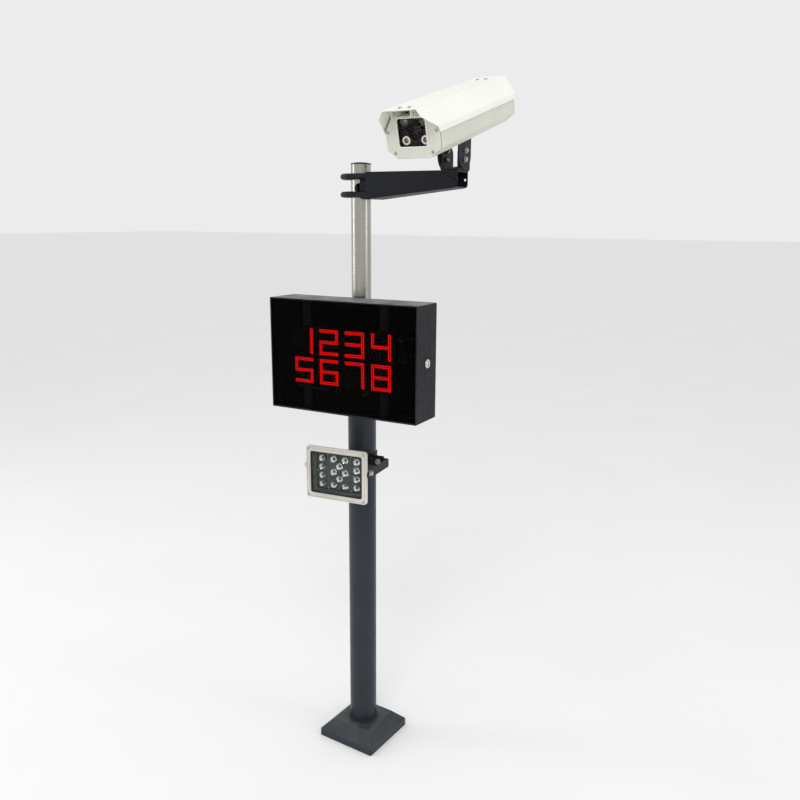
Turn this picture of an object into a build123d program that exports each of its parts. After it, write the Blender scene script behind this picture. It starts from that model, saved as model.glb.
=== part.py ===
from build123d import *
import os
from math import cos, degrees, hypot, radians, sin, sqrt

# Camera and message post: a stepped pole on a covered base plate, with an LED
# message box, an LED floodlight, a side arm and a camera in a weather housing.
# Millimetres. The origin is on the pole's axis at the underside of the base plate,
# +Z is up, -Y is the side that the message box faces and +X is along the arm.

# ---- base
BASE_TURN = -4.5          # the base plate and cover are turned a little about the pole
PLATE_SIDE = 165
PLATE_THICK = 8
ANCHOR_PCD = 170
ANCHOR_HOLE = 13
DUCT_HOLE = 60
COVER_SIDE = 181
COVER_TOP_SIDE = 121
COVER_EDGE = 20
COVER_HEIGHT = 50
COVER_SHEET = 1.5

# ---- pole
LOWER_R = 38
LOWER_WALL = 3
LOWER_TOP = 1210
COLLAR_R = 41.5
UPPER_R = 25.5
UPPER_WALL = 1.5
UPPER_FOOT = 940
UPPER_TOP = 1614
TUBE_HOLE_Z = 1555
TUBE_HOLE_R = 13
TUBE_HOLE_TURN = 23       # the hole faces this far from -Y towards +X
PIPE_GAP = 0.3            # clearance round a pipe of a piece that turns or slides on it

# ---- message box
BOX_X = 26
BOX_WIDTH = 430
BOX_HEIGHT = 288
BOX_BOTTOM = 994
BOX_BACK = -42
BOX_FRONT = -144
BOX_SEAM = -104           # the door meets the case here
BOX_SHEET = 2
SEAM_GAP = 1
LIP = 3                   # folded lip round the door's window
FLANGE = 12
PANEL_THICK = 4
MODULE_WIDTH = 304
MODULE_HEIGHT = 152
HINGE_Z = (1054, 1222)
LOCK_Y = -90
LOCK_Z = 1138
BOX_BOLT_Z = (1034, 1160)

# ---- arm
ARM_ROOT = 40
ARM_END = 284
ARM_TOP = 1593.5
ARM_ROOT_HALF = 44.6
ARM_END_HALF = 32
ARM_ROOT_DEPTH = 65.5
ARM_END_DEPTH = 39.5
ARM_END_CORNER = 9
ARM_SHEET = 2.5
CLAMP_Z = (1540, 1584)
CLAMP_ROD_R = 7.4
CLAMP_LEG_Y = 33.3
CLAMP_BEND_X = -13.8

# ---- bracket under the camera
PAN_X = 263
PIVOT_Y = -6
PIVOT_Z = 1618.5
YOKE_SHEET = 4
YOKE_HALF = 24
YOKE_FRONT = -31
YOKE_BACK = 32
YOKE_EAR_TOP = 1650
BRACKET_BOLT_R = 3
BRACKET_HOLE_R = 3.3
SLOT_R = 20.6
SLOT_ANGLE = 84           # of the lock bolt about the pivot, from +Y
SLOT_SWEEP = 16
SLOT_HALF = 3.2
SLOT_ROUND = degrees(SLOT_HALF / SLOT_R)
EAR_R = 33                # the ears' round ends are struck from above the pivot
EAR_RISE = 10
SADDLE_FRONT = -88        # the upper yoke's top plate, along the housing
SADDLE_BACK = 12

# ---- camera housing, in its own frame: along from front to back, up across the top
TILT = radians(15.6)
RIDGE = Vector(PAN_X, 0, 1778.4)
SHIELD_FRONT = -291
SHIELD_BACK = 202
SHIELD_SHEET = 1.5
SHIELD_POINTS = ((40.5, 0), (67.5, -43.6), (67.5, -55.6))
SHIELD_BOLT_X = 11.5
SHIELD_BOLT_ALONG = (-263, 150)
BRACKET_HALF = 24         # the folded brackets that hold the shield off the housing
BRACKET_SHEET = 2
FOOT_SCREW_X = 16
PLATE_FRONT = -244
BODY_BACK = 188
BODY_WALL = 2.5
BODY_POINTS = ((46, -19), (64.8, -50), (64.8, -89.8), (40.5, -108.4))
END_SCREWS = ((-58.5, -52), (58.5, -52), (-45.5, -96), (45.5, -96))
WINDOW_UP = -54
LENS_UP = -52.5
LAMP_X = 23
LAMP_RISE = 20

# ---- floodlight, turned about the pole
LAMP_TURN = 5
FLOOD_FACE = -154.4
FLOOD_Z = 836
FLOOD_WIDTH = 173.8
FLOOD_HEIGHT = 138.8
FLOOD_WINDOW = (148, 110.7)
FLOOD_PIVOT = (-137, 848.5)
STRAP = 3
STRAP_HEIGHT = 22
STRAP_HALF = 90.4
STRAP_BACK = -24
STRAP_Z = 845
HOOP_BOLT_X = 61.5
BOARD_DEPTH = 24          # of the lamp board behind the frame's face
FRAME_DEPTH = 10

os.makedirs("parts", exist_ok=True)


def write(piece, name):
    piece.part.label = name
    export_step(piece.part, f"parts/{name}.step")


def mirrored(points):
    """A closed outline from its right-hand half, listed from the top down."""
    return [(x, y) for x, y in points] + [(-x, y) for x, y in reversed(points)]


def base_plane(z):
    return Plane(origin=(0, 0, z), x_dir=(cos(radians(BASE_TURN)), sin(radians(BASE_TURN)), 0))


def across(distance):
    """Cross-section plane of the camera housing, seen from the front."""
    axis = Vector(0, cos(TILT), sin(TILT))
    return Plane(origin=RIDGE + axis * distance, x_dir=(1, 0, 0), z_dir=-axis)


def lengthwise(offset=0):
    """Side plane of the camera housing: x runs from front to back, y runs up."""
    axis = Vector(0, cos(TILT), sin(TILT))
    return Plane(origin=RIDGE + Vector(offset, 0, 0), x_dir=axis, z_dir=(1, 0, 0))


def level(height):
    """Plane in the camera housing that faces its top: x runs across, y runs back."""
    up = Vector(0, -sin(TILT), cos(TILT))
    return Plane(origin=RIDGE + up * height, x_dir=(1, 0, 0), z_dir=up)


def turned(x, y):
    """A point of the floodlight's own frame, turned about the pole."""
    turn = radians(LAMP_TURN)
    return Vector(x * cos(turn) - y * sin(turn), x * sin(turn) + y * cos(turn), 0)


def flood_front(y):
    return Plane(origin=turned(0, y), x_dir=turned(1, 0), z_dir=turned(0, -1))


def flood_top(z):
    return Plane(origin=(0, 0, z), x_dir=turned(1, 0), z_dir=(0, 0, 1))


def flood_side(x):
    return Plane(origin=turned(x, 0), x_dir=turned(0, 1), z_dir=turned(1, 0))


def hex_fastener(plane, flats, head, shank_r, shank):
    """Hexagon head on the plane, facing out, with its shank going in."""
    with BuildSketch(plane) as hexagon:
        RegularPolygon(flats / sqrt(3), 6)
    extrude(hexagon.sketch, amount=head)
    with BuildSketch(plane) as rod:
        Circle(shank_r)
    extrude(rod.sketch, amount=-shank)


def hex_nut(plane, flats, height, bore_r):
    with BuildSketch(plane) as hexagon:
        RegularPolygon(flats / sqrt(3), 6)
        Circle(bore_r, mode=Mode.SUBTRACT)
    extrude(hexagon.sketch, amount=height)


# ==== base ================================================================

with BuildPart() as base_plate:
    with BuildSketch(base_plane(0)):
        RectangleRounded(PLATE_SIDE, PLATE_SIDE, 8)
        Circle(DUCT_HOLE / 2, mode=Mode.SUBTRACT)
        with PolarLocations(ANCHOR_PCD / 2, 4, start_angle=45):
            Circle(ANCHOR_HOLE / 2, mode=Mode.SUBTRACT)
    extrude(amount=PLATE_THICK)

with BuildPart() as base_gussets:
    for quarter in range(4):
        heading = radians(BASE_TURN + 90 * quarter)
        gusset = Plane(origin=(0, 0, 0), x_dir=(cos(heading), sin(heading), 0),
                       z_dir=(sin(heading), -cos(heading), 0))
        with BuildSketch(gusset):
            Polygon((LOWER_R - 2, PLATE_THICK), (70, PLATE_THICK), (70, 14), (46, 40), (LOWER_R - 2, 40),
                    align=None)
        extrude(amount=3, both=True)
    with BuildSketch(Plane.XY.offset(PLATE_THICK)):
        Circle(LOWER_R)
    extrude(amount=60, mode=Mode.SUBTRACT)

# The gussets are welded on, and stay solids of their own beside the plate.
welded_base = Compound(base_plate.solids() + base_gussets.solids(), label="base_plate")
export_step(welded_base, "parts/base_plate.step")


def frustum(side, top_side, edge, top, corner, mode=Mode.ADD):
    with BuildSketch(base_plane(0)) as foot:
        RectangleRounded(side, side, corner)
    extrude(foot.sketch, amount=edge, mode=mode)
    with BuildSketch(base_plane(edge)) as shoulder:
        RectangleRounded(side, side, corner)
    with BuildSketch(base_plane(top)) as crown:
        RectangleRounded(top_side, top_side, corner)
    loft([shoulder.sketch, crown.sketch], mode=mode)


cover_slope = (COVER_SIDE - COVER_TOP_SIDE) / (COVER_HEIGHT - COVER_EDGE)
cover_inset = 2 * COVER_SHEET
sloped_inset = cover_inset * hypot(1, cover_slope / 2)
inner_edge = COVER_EDGE - (sloped_inset - cover_inset) / cover_slope
inner_top_side = COVER_TOP_SIDE + cover_slope * COVER_SHEET - sloped_inset

with BuildPart() as base_cover:
    frustum(COVER_SIDE, COVER_TOP_SIDE, COVER_EDGE, COVER_HEIGHT, 4)
    frustum(COVER_SIDE - cover_inset, inner_top_side, inner_edge, COVER_HEIGHT - COVER_SHEET, 2.5,
            mode=Mode.SUBTRACT)
    with BuildSketch(Plane.XY.offset(COVER_HEIGHT - 5)):
        Circle(41)
    extrude(amount=10, mode=Mode.SUBTRACT)
write(base_cover, "base_cover")

with BuildPart() as cover_grommet:
    with BuildSketch(Plane.XZ):
        Polygon((LOWER_R + PIPE_GAP, 45.5), (43.5, 45.5), (43.5, 48.4), (41, 48.4), (41, 50),
                (43.5, 50), (43.5, 52), (LOWER_R + PIPE_GAP, 53.5), align=None)
    revolve(axis=Axis.Z)
write(cover_grommet, "cover_grommet")

# ==== pole ================================================================

with BuildPart() as lower_pipe:
    with BuildSketch(Plane.XY.offset(PLATE_THICK)):
        Circle(LOWER_R)
        Circle(LOWER_R - LOWER_WALL, mode=Mode.SUBTRACT)
    extrude(amount=LOWER_TOP - PLATE_THICK)
write(lower_pipe, "lower_pipe")

with BuildPart() as mast_collar:
    with BuildSketch(Plane.XZ):
        Polygon((LOWER_R, LOWER_TOP - 30), (COLLAR_R, LOWER_TOP - 30), (COLLAR_R, LOWER_TOP + 12), (34, LOWER_TOP + 34),
                (UPPER_R + 0.1, LOWER_TOP + 34), (UPPER_R + 0.1, LOWER_TOP), (LOWER_R, LOWER_TOP),
                align=None)
    revolve(axis=Axis.Z)
    with PolarLocations(0, 3, start_angle=90):
        with Locations(Location((0, 0, LOWER_TOP + 6), (0, 90, 0))):
            Cylinder(3.4, 120, align=(Align.CENTER, Align.CENTER, Align.MIN), mode=Mode.SUBTRACT)
write(mast_collar, "mast_collar")

with BuildPart() as collar_screws:
    for third in range(3):
        heading = radians(90 + 120 * third)
        outward = Vector(cos(heading), sin(heading), 0)
        seat = Plane(origin=outward * COLLAR_R + Vector(0, 0, LOWER_TOP + 6), z_dir=outward)
        hex_fastener(seat, 10, 5, 3.3, COLLAR_R - UPPER_R - 0.4)
write(collar_screws, "collar_screws")

with BuildPart() as upper_pipe:
    with BuildSketch(Plane.XY.offset(UPPER_FOOT)):
        Circle(UPPER_R)
        Circle(UPPER_R - UPPER_WALL, mode=Mode.SUBTRACT)
    extrude(amount=UPPER_TOP - UPPER_FOOT)
    hole_turn = radians(TUBE_HOLE_TURN)
    with BuildSketch(Plane(origin=(0, 0, TUBE_HOLE_Z), z_dir=(sin(hole_turn), -cos(hole_turn), 0))):
        Circle(TUBE_HOLE_R)
    extrude(amount=40, mode=Mode.SUBTRACT)
write(upper_pipe, "upper_pipe")

with BuildPart() as pole_cap:
    with BuildSketch(Plane.XZ):
        with BuildLine():
            Polyline((0, UPPER_TOP - 14), (UPPER_R - UPPER_WALL, UPPER_TOP - 14),
                     (UPPER_R - UPPER_WALL, UPPER_TOP), (26.2, UPPER_TOP), (26.2, UPPER_TOP + 2.6))
            dome = RadiusArc((0, UPPER_TOP + 6), (26.2, UPPER_TOP + 2.6), (26.2**2 + 3.4**2) / (2 * 3.4))
            Line(dome @ 0, (0, UPPER_TOP - 14))
        make_face()
    revolve(axis=Axis.Z)
write(pole_cap, "pole_cap")

# ==== message box: case ===================================================

box_mid = BOX_BOTTOM + BOX_HEIGHT / 2


def box_plane(y):
    """Plane across the message box that faces its front, centred on the box."""
    return Plane(origin=(BOX_X, y, box_mid), x_dir=(1, 0, 0), z_dir=(0, -1, 0))


with BuildPart() as message_case:
    with BuildSketch(box_plane(BOX_BACK)):
        RectangleRounded(BOX_WIDTH, BOX_HEIGHT, 2)
    extrude(amount=BOX_BACK - BOX_SEAM)
    with BuildSketch(box_plane(BOX_BACK - BOX_SHEET)):
        Rectangle(BOX_WIDTH - 2 * BOX_SHEET, BOX_HEIGHT - 2 * BOX_SHEET)
    extrude(amount=BOX_BACK - BOX_SEAM - 2 * BOX_SHEET, mode=Mode.SUBTRACT)
    with BuildSketch(box_plane(BOX_SEAM + 10)):
        Rectangle(BOX_WIDTH - 2 * FLANGE, BOX_HEIGHT - 2 * FLANGE)
    extrude(amount=20, mode=Mode.SUBTRACT)
    with BuildSketch(Plane.XZ.offset(-BOX_BACK - 10)):
        with Locations([(x, z) for x in (-LOWER_R - 4.4, LOWER_R + 4.4) for z in BOX_BOLT_Z]):
            Circle(4.3)
    extrude(amount=20, mode=Mode.SUBTRACT)
    with BuildSketch(Plane(origin=(BOX_X + BOX_WIDTH / 2 + 5, LOCK_Y, LOCK_Z), z_dir=(-1, 0, 0))):
        Circle(9.6)
    extrude(amount=12, mode=Mode.SUBTRACT)
    with BuildSketch(Plane.XY.offset(BOX_BOTTOM - 5)):
        with Locations((110, -72)):
            Circle(8)
    extrude(amount=12, mode=Mode.SUBTRACT)
write(message_case, "message_case")

with BuildPart() as case_gasket:
    with BuildSketch(box_plane(BOX_SEAM)):
        Rectangle(BOX_WIDTH - 8, BOX_HEIGHT - 8)
        Rectangle(BOX_WIDTH - 2 * FLANGE, BOX_HEIGHT - 2 * FLANGE, mode=Mode.SUBTRACT)
    extrude(amount=SEAM_GAP - 0.1)
write(case_gasket, "case_gasket")

with BuildPart() as box_saddles:
    for z in BOX_BOLT_Z:
        with BuildSketch(Plane.XY.offset(z - 18)):
            Polygon((-34, BOX_BACK), (34, BOX_BACK), (34, -20), (-34, -20), align=None)
            Circle(LOWER_R, mode=Mode.SUBTRACT)
        extrude(amount=36)
write(box_saddles, "box_saddles")

u_leg = LOWER_R + 4.4
with BuildPart() as box_u_bolts:
    for z in BOX_BOLT_Z:
        with BuildLine() as u_path:
            Line((-u_leg, -62, z), (-u_leg, 0, z))
            RadiusArc((-u_leg, 0, z), (u_leg, 0, z), u_leg)
            Line((u_leg, 0, z), (u_leg, -62, z))
        with BuildSketch(Plane(origin=(-u_leg, -62, z), z_dir=(0, 1, 0))):
            Circle(4)
        sweep(path=u_path.line)
write(box_u_bolts, "box_u_bolts")

with BuildPart() as box_u_nuts:
    for z in BOX_BOLT_Z:
        for x in (-u_leg, u_leg):
            hex_nut(Plane(origin=(x, BOX_BACK - BOX_SHEET, z), z_dir=(0, -1, 0)), 13, 7, 4)
write(box_u_nuts, "box_u_nuts")

with BuildPart() as power_supply:
    with BuildSketch(box_plane(BOX_BACK - BOX_SHEET)):
        with Locations((-130, -20)):
            RectangleRounded(98, 160, 2)
    extrude(amount=34)
    with BuildSketch(box_plane(BOX_BACK - BOX_SHEET - 34)):
        with Locations((-130, -88)):
            Rectangle(90, 18)
        with Locations((-130, -88)):
            with GridLocations(12, 1, 7, 1):
                Rectangle(1.5, 18, mode=Mode.SUBTRACT)
    extrude(amount=-16, mode=Mode.SUBTRACT)
    with BuildSketch(box_plane(BOX_BACK - BOX_SHEET - 34)):
        with Locations((-130, -4)):
            with GridLocations(12, 12, 6, 9):
                Circle(3)
    extrude(amount=-1.5, mode=Mode.SUBTRACT)
write(power_supply, "power_supply")

with BuildPart() as control_card:
    with BuildSketch(box_plane(BOX_BACK - BOX_SHEET)):
        with Locations((110, 20)):
            with GridLocations(88, 58, 2, 2):
                Circle(3)
    extrude(amount=8)
    with BuildSketch(box_plane(BOX_BACK - BOX_SHEET - 8)):
        with Locations((110, 20)):
            Rectangle(100, 70)
    extrude(amount=1.6)
    with BuildSketch(box_plane(BOX_BACK - BOX_SHEET - 9.6)):
        with Locations((95, 20)):
            Rectangle(22, 22)
        with Locations((110, -8)):
            Rectangle(70, 9)
        with Locations((138, 30)):
            Rectangle(14, 26)
    extrude(amount=7)
write(control_card, "control_card")


def gland(plane, bore_r, outer_r):
    """Cable gland: hexagon outside the wall, thread through it, domed nut."""
    with BuildSketch(plane) as hexagon:
        RegularPolygon(outer_r * 1.15, 6)
        Circle(bore_r, mode=Mode.SUBTRACT)
    extrude(hexagon.sketch, amount=5)
    with BuildSketch(plane) as thread:
        Circle(outer_r * 0.78)
        Circle(bore_r, mode=Mode.SUBTRACT)
    extrude(thread.sketch, amount=-10)
    with BuildSketch(plane.offset(5)) as dome:
        Circle(outer_r)
    extrude(dome.sketch, amount=13, taper=8)
    with BuildSketch(plane) as passage:
        Circle(bore_r)
    extrude(passage.sketch, amount=20, mode=Mode.SUBTRACT)


with BuildPart() as case_gland:
    gland(Plane(origin=(110, -72, BOX_BOTTOM), z_dir=(0, 0, -1)), 4, 10)
write(case_gland, "case_gland")

# ==== message box: door ===================================================

door_back = BOX_SEAM - SEAM_GAP

with BuildPart() as message_door:
    with BuildSketch(box_plane(door_back)):
        RectangleRounded(BOX_WIDTH, BOX_HEIGHT, 2)
    extrude(amount=door_back - BOX_FRONT)
    with BuildSketch(box_plane(door_back - BOX_SHEET)):
        Rectangle(BOX_WIDTH - 2 * BOX_SHEET, BOX_HEIGHT - 2 * BOX_SHEET)
    extrude(amount=door_back - BOX_FRONT - 2 * BOX_SHEET, mode=Mode.SUBTRACT)
    with BuildSketch(box_plane(door_back + 5)):
        Rectangle(BOX_WIDTH - 2 * FLANGE, BOX_HEIGHT - 2 * FLANGE)
    extrude(amount=20, mode=Mode.SUBTRACT)
    with BuildSketch(box_plane(BOX_FRONT + 5)):
        Rectangle(BOX_WIDTH - 2 * LIP, BOX_HEIGHT - 2 * LIP)
    extrude(amount=20, mode=Mode.SUBTRACT)
write(message_door, "message_door")

with BuildPart() as front_panel:
    with BuildSketch(box_plane(BOX_FRONT + 1)):
        Rectangle(BOX_WIDTH - 2 * LIP - 0.4, BOX_HEIGHT - 2 * LIP - 0.4)
    extrude(amount=-PANEL_THICK)
write(front_panel, "front_panel")

module_face = BOX_FRONT + 1 + PANEL_THICK
with BuildPart() as led_module:
    with BuildSketch(box_plane(module_face)):
        Rectangle(MODULE_WIDTH, MODULE_HEIGHT)
    extrude(amount=-6)
    with BuildSketch(box_plane(module_face + 6)):
        Rectangle(MODULE_WIDTH, MODULE_HEIGHT)
        Rectangle(MODULE_WIDTH - 8, MODULE_HEIGHT - 8, mode=Mode.SUBTRACT)
        with Locations((-76, 0), (0, 0), (76, 0)):
            Rectangle(3, MODULE_HEIGHT - 8)
    extrude(amount=-9)
write(led_module, "led_module")

with BuildPart() as module_rails:
    with BuildSketch(box_plane(module_face + 15)):
        with GridLocations(228, 1, 2, 1):
            Rectangle(24, BOX_HEIGHT - 2 * BOX_SHEET)
    extrude(amount=-2)
    for x in (-114, 114):
        for z in (-1, 1):
            edge = z * (BOX_HEIGHT / 2 - BOX_SHEET - 1)
            with BuildSketch(box_plane(module_face)):
                with Locations((x, edge)):
                    Rectangle(24, 2)
            extrude(amount=-17)
write(module_rails, "module_rails")

# ==== message box: hinges and lock ========================================

hinge_x = BOX_X - BOX_WIDTH / 2 - 4.2
hinge_y = BOX_SEAM - SEAM_GAP / 2


def hinge_leaf(z, low, high, side):
    """Knuckle from low to high about the hinge line, with its leaf on the given side."""
    wall = BOX_X - BOX_WIDTH / 2
    with BuildSketch(Plane.XY.offset(z + low)) as leaf:
        Polygon((wall, hinge_y + side), (wall, hinge_y + side * 22), (wall - 2, hinge_y + side * 22),
                (wall - 2, hinge_y + side), align=None)
        with Locations((hinge_x, hinge_y)):
            Circle(4)
            Circle(2.05, mode=Mode.SUBTRACT)
    extrude(leaf.sketch, amount=high - low)


with BuildPart() as hinge_case_leaves:
    for z in HINGE_Z:
        hinge_leaf(z, -25, -0.3, 1)
        with BuildSketch(Plane.XY.offset(z - 25)):
            with Locations((hinge_x, hinge_y)):
                Circle(2.05)
        extrude(amount=24.7)
        with BuildSketch(Plane.XY.offset(z - 0.3)):
            with Locations((hinge_x, hinge_y)):
                Circle(2)
        extrude(amount=24)
write(hinge_case_leaves, "hinge_case_leaves")

with BuildPart() as hinge_door_leaves:
    for z in HINGE_Z:
        hinge_leaf(z, 0.3, 25, -1)
write(hinge_door_leaves, "hinge_door_leaves")

box_side = BOX_X + BOX_WIDTH / 2


def lock_plane(x):
    return Plane(origin=(x, LOCK_Y, LOCK_Z), x_dir=(0, 1, 0), z_dir=(1, 0, 0))


with BuildPart() as lock_barrel:
    with BuildSketch(lock_plane(box_side)):
        Circle(11)
    extrude(amount=3)
    with BuildSketch(lock_plane(box_side)):
        Circle(9.5)
    extrude(amount=-24)
    chamfer(lock_barrel.edges().filter_by(GeomType.CIRCLE).sort_by(Axis.X)[-1:], 1)
    with BuildSketch(lock_plane(box_side + 3)):
        Circle(6.05)
    extrude(amount=-27, mode=Mode.SUBTRACT)
write(lock_barrel, "lock_barrel")

with BuildPart() as lock_plug:
    with BuildSketch(lock_plane(box_side + 2.6)):
        Circle(6)
    extrude(amount=-26.6)
    with BuildSketch(lock_plane(box_side - 24)):
        Rectangle(7, 7)
    extrude(amount=-8)
    with BuildSketch(lock_plane(box_side + 2.6)):
        Rectangle(1.6, 8)
    extrude(amount=-12, mode=Mode.SUBTRACT)
write(lock_plug, "lock_plug")

with BuildPart() as lock_cam:
    with BuildSketch(lock_plane(box_side - 25)):
        with Locations((-13, 0)):
            SlotOverall(42, 14)
        Rectangle(7, 7, mode=Mode.SUBTRACT)
    extrude(amount=-2.5)
write(lock_cam, "lock_cam")

with BuildPart() as lock_catch:
    catch_foot = door_back - BOX_SHEET - LOCK_Y
    with BuildSketch(lock_plane(box_side - 19)):
        Polygon((catch_foot - 2, 14), (18, 14), (18, 30), (catch_foot - 2, 30), align=None)
    extrude(amount=-2)
    with BuildSketch(lock_plane(box_side - 19)):
        Polygon((catch_foot - 2, 14), (catch_foot, 14), (catch_foot, 30), (catch_foot - 2, 30), align=None)
    extrude(amount=15)
    with BuildSketch(lock_plane(box_side - 21)):
        with Locations((12, 22)):
            Circle(3)
    extrude(amount=-8)
write(lock_catch, "lock_catch")

# ==== arm =================================================================


def arm_rectangle(x, inset, rise=0):
    """Section of the tapered arm at x, drawn in by the inset and raised at its top."""
    part_way = (x - ARM_ROOT) / (ARM_END - ARM_ROOT)
    half = ARM_ROOT_HALF + part_way * (ARM_END_HALF - ARM_ROOT_HALF) - inset
    depth = ARM_ROOT_DEPTH + part_way * (ARM_END_DEPTH - ARM_ROOT_DEPTH) - inset + rise
    with BuildSketch(Plane.YZ.offset(x)) as section:
        with Locations((0, ARM_TOP + rise - depth / 2)):
            Rectangle(2 * half, depth)
    return section.sketch


with BuildPart() as arm_channel:
    loft([arm_rectangle(ARM_ROOT, 0), arm_rectangle(ARM_END, 0)], ruled=True)
    fillet(arm_channel.edges().filter_by(Axis.Y).group_by(Axis.X)[-1].sort_by(Axis.Z)[0], ARM_END_CORNER)
    arm_bottom = arm_channel.faces().sort_by(Axis.Z)[0]
    fillet(arm_bottom.edges().filter_by(lambda e: abs((e @ 0).X - (e @ 1).X) > 100), 4)
    loft([arm_rectangle(ARM_ROOT + 5, ARM_SHEET, 1), arm_rectangle(ARM_END + 1, ARM_SHEET, 1)], ruled=True,
         mode=Mode.SUBTRACT)
    with BuildSketch(Plane.XY.offset(ARM_TOP)):
        Polygon((226, 33), (ARM_END, 30.5), (ARM_END, -30.5), (226, -33), align=None)
    extrude(amount=-YOKE_SHEET)
    with BuildSketch(Plane.XY.offset(ARM_TOP)):
        with Locations((PAN_X, 0)):
            Circle(BRACKET_HOLE_R)
    extrude(amount=-10, mode=Mode.SUBTRACT)
    with BuildSketch(Plane.XZ.offset(60)):
        with Locations((276, 1573)):
            Circle(3)
    extrude(amount=-120, mode=Mode.SUBTRACT)
    with BuildSketch(Plane.YZ.offset(ARM_ROOT - 1)):
        with Locations([(y, z) for y in (-CLAMP_LEG_Y, CLAMP_LEG_Y) for z in CLAMP_Z]):
            Circle(5.1)
        with Locations((0, 1561)):
            Circle(14)
    extrude(amount=10, mode=Mode.SUBTRACT)
write(arm_channel, "arm_channel")

with BuildPart() as arm_saddle:
    with BuildSketch(Plane.XY.offset(ARM_TOP - ARM_ROOT_DEPTH + 2)):
        Polygon((12, -25.4), (ARM_ROOT, -25.4), (ARM_ROOT, 25.4), (12, 25.4), align=None)
        Circle(UPPER_R + PIPE_GAP, mode=Mode.SUBTRACT)
    extrude(amount=ARM_ROOT_DEPTH - 4)
    with BuildSketch(Plane.YZ):
        with Locations((0, 1561)):
            Circle(14)
    extrude(amount=50, mode=Mode.SUBTRACT)
write(arm_saddle, "arm_saddle")

with BuildPart() as arm_jaws:
    for z in CLAMP_Z:
        with BuildSketch(Plane.XY.offset(z - 7)):
            with Locations((CLAMP_BEND_X, 0)):
                Circle(CLAMP_LEG_Y - CLAMP_ROD_R)
            Polygon((CLAMP_BEND_X + 1.8, -25.9), (40, -25.9), (40, 25.9), (CLAMP_BEND_X + 1.8, 25.9), align=None,
                    mode=Mode.SUBTRACT)
            Circle(UPPER_R + PIPE_GAP, mode=Mode.SUBTRACT)
        extrude(amount=14)
write(arm_jaws, "arm_jaws")

with BuildPart() as arm_u_bolts:
    for z in CLAMP_Z:
        with BuildLine() as clamp_path:
            Line((ARM_ROOT, -CLAMP_LEG_Y, z), (CLAMP_BEND_X, -CLAMP_LEG_Y, z))
            RadiusArc((CLAMP_BEND_X, -CLAMP_LEG_Y, z), (CLAMP_BEND_X, CLAMP_LEG_Y, z), CLAMP_LEG_Y)
            Line((CLAMP_BEND_X, CLAMP_LEG_Y, z), (ARM_ROOT, CLAMP_LEG_Y, z))
        with BuildSketch(Plane(origin=(ARM_ROOT, -CLAMP_LEG_Y, z), z_dir=(-1, 0, 0))):
            Circle(CLAMP_ROD_R)
        sweep(path=clamp_path.line)
        with BuildSketch(Plane.YZ.offset(ARM_ROOT)):
            with Locations((-CLAMP_LEG_Y, z), (CLAMP_LEG_Y, z)):
                Circle(5)
        extrude(amount=22)
write(arm_u_bolts, "arm_u_bolts")

with BuildPart() as arm_u_nuts:
    for z in CLAMP_Z:
        for y in (-CLAMP_LEG_Y, CLAMP_LEG_Y):
            seat = Plane(origin=(ARM_ROOT + 5, y, z), x_dir=(0, 0, 1), z_dir=(1, 0, 0))
            hex_nut(seat, 14, 6, 5)
write(arm_u_nuts, "arm_u_nuts")

# ==== pan and tilt bracket ================================================

yoke_floor = ARM_TOP + 0.2
yoke_mid = (YOKE_FRONT + YOKE_BACK) / 2
yoke_length = YOKE_BACK - YOKE_FRONT
slot_y = PIVOT_Y + SLOT_R * cos(radians(SLOT_ANGLE))
slot_z = PIVOT_Z + SLOT_R * sin(radians(SLOT_ANGLE))


def outward_plane(x, y, z, side):
    return Plane(origin=(x, y, z), x_dir=(0, 1, 0), z_dir=(side, 0, 0))


with BuildPart() as lower_yoke:
    with BuildSketch(Plane.XZ.offset(-YOKE_BACK)):
        with Locations((PAN_X, (yoke_floor + YOKE_EAR_TOP) / 2)):
            Rectangle(2 * YOKE_HALF, YOKE_EAR_TOP - yoke_floor)
        with Locations((PAN_X, (yoke_floor + YOKE_EAR_TOP) / 2 + YOKE_SHEET)):
            Rectangle(2 * (YOKE_HALF - YOKE_SHEET), YOKE_EAR_TOP - yoke_floor, mode=Mode.SUBTRACT)
    extrude(amount=yoke_length)
    fillet(lower_yoke.edges().filter_by(Axis.X).group_by(Axis.Z)[-1], 20)
    fillet(lower_yoke.edges().filter_by(Axis.Y).group_by(Axis.Z)[0], 4)
    with BuildSketch(Plane.YZ.offset(PAN_X - 40)):
        with Locations((PIVOT_Y, PIVOT_Z), (slot_y, slot_z)):
            Circle(BRACKET_HOLE_R)
    extrude(amount=80, mode=Mode.SUBTRACT)
    with BuildSketch(Plane.XY.offset(yoke_floor - 1)):
        with Locations((PAN_X, 0)):
            Circle(BRACKET_HOLE_R)
    extrude(amount=10, mode=Mode.SUBTRACT)
write(lower_yoke, "lower_yoke")

ear_gap = 0.3
ear_out = YOKE_HALF + ear_gap + YOKE_SHEET
pivot_along = PIVOT_Y * cos(TILT) + (PIVOT_Z - RIDGE.Z) * sin(TILT)
pivot_up = (PIVOT_Z - RIDGE.Z) * cos(TILT) - PIVOT_Y * sin(TILT)
body_floor = BODY_POINTS[-1][1]
saddle_mid = (SADDLE_FRONT + SADDLE_BACK) / 2

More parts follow.
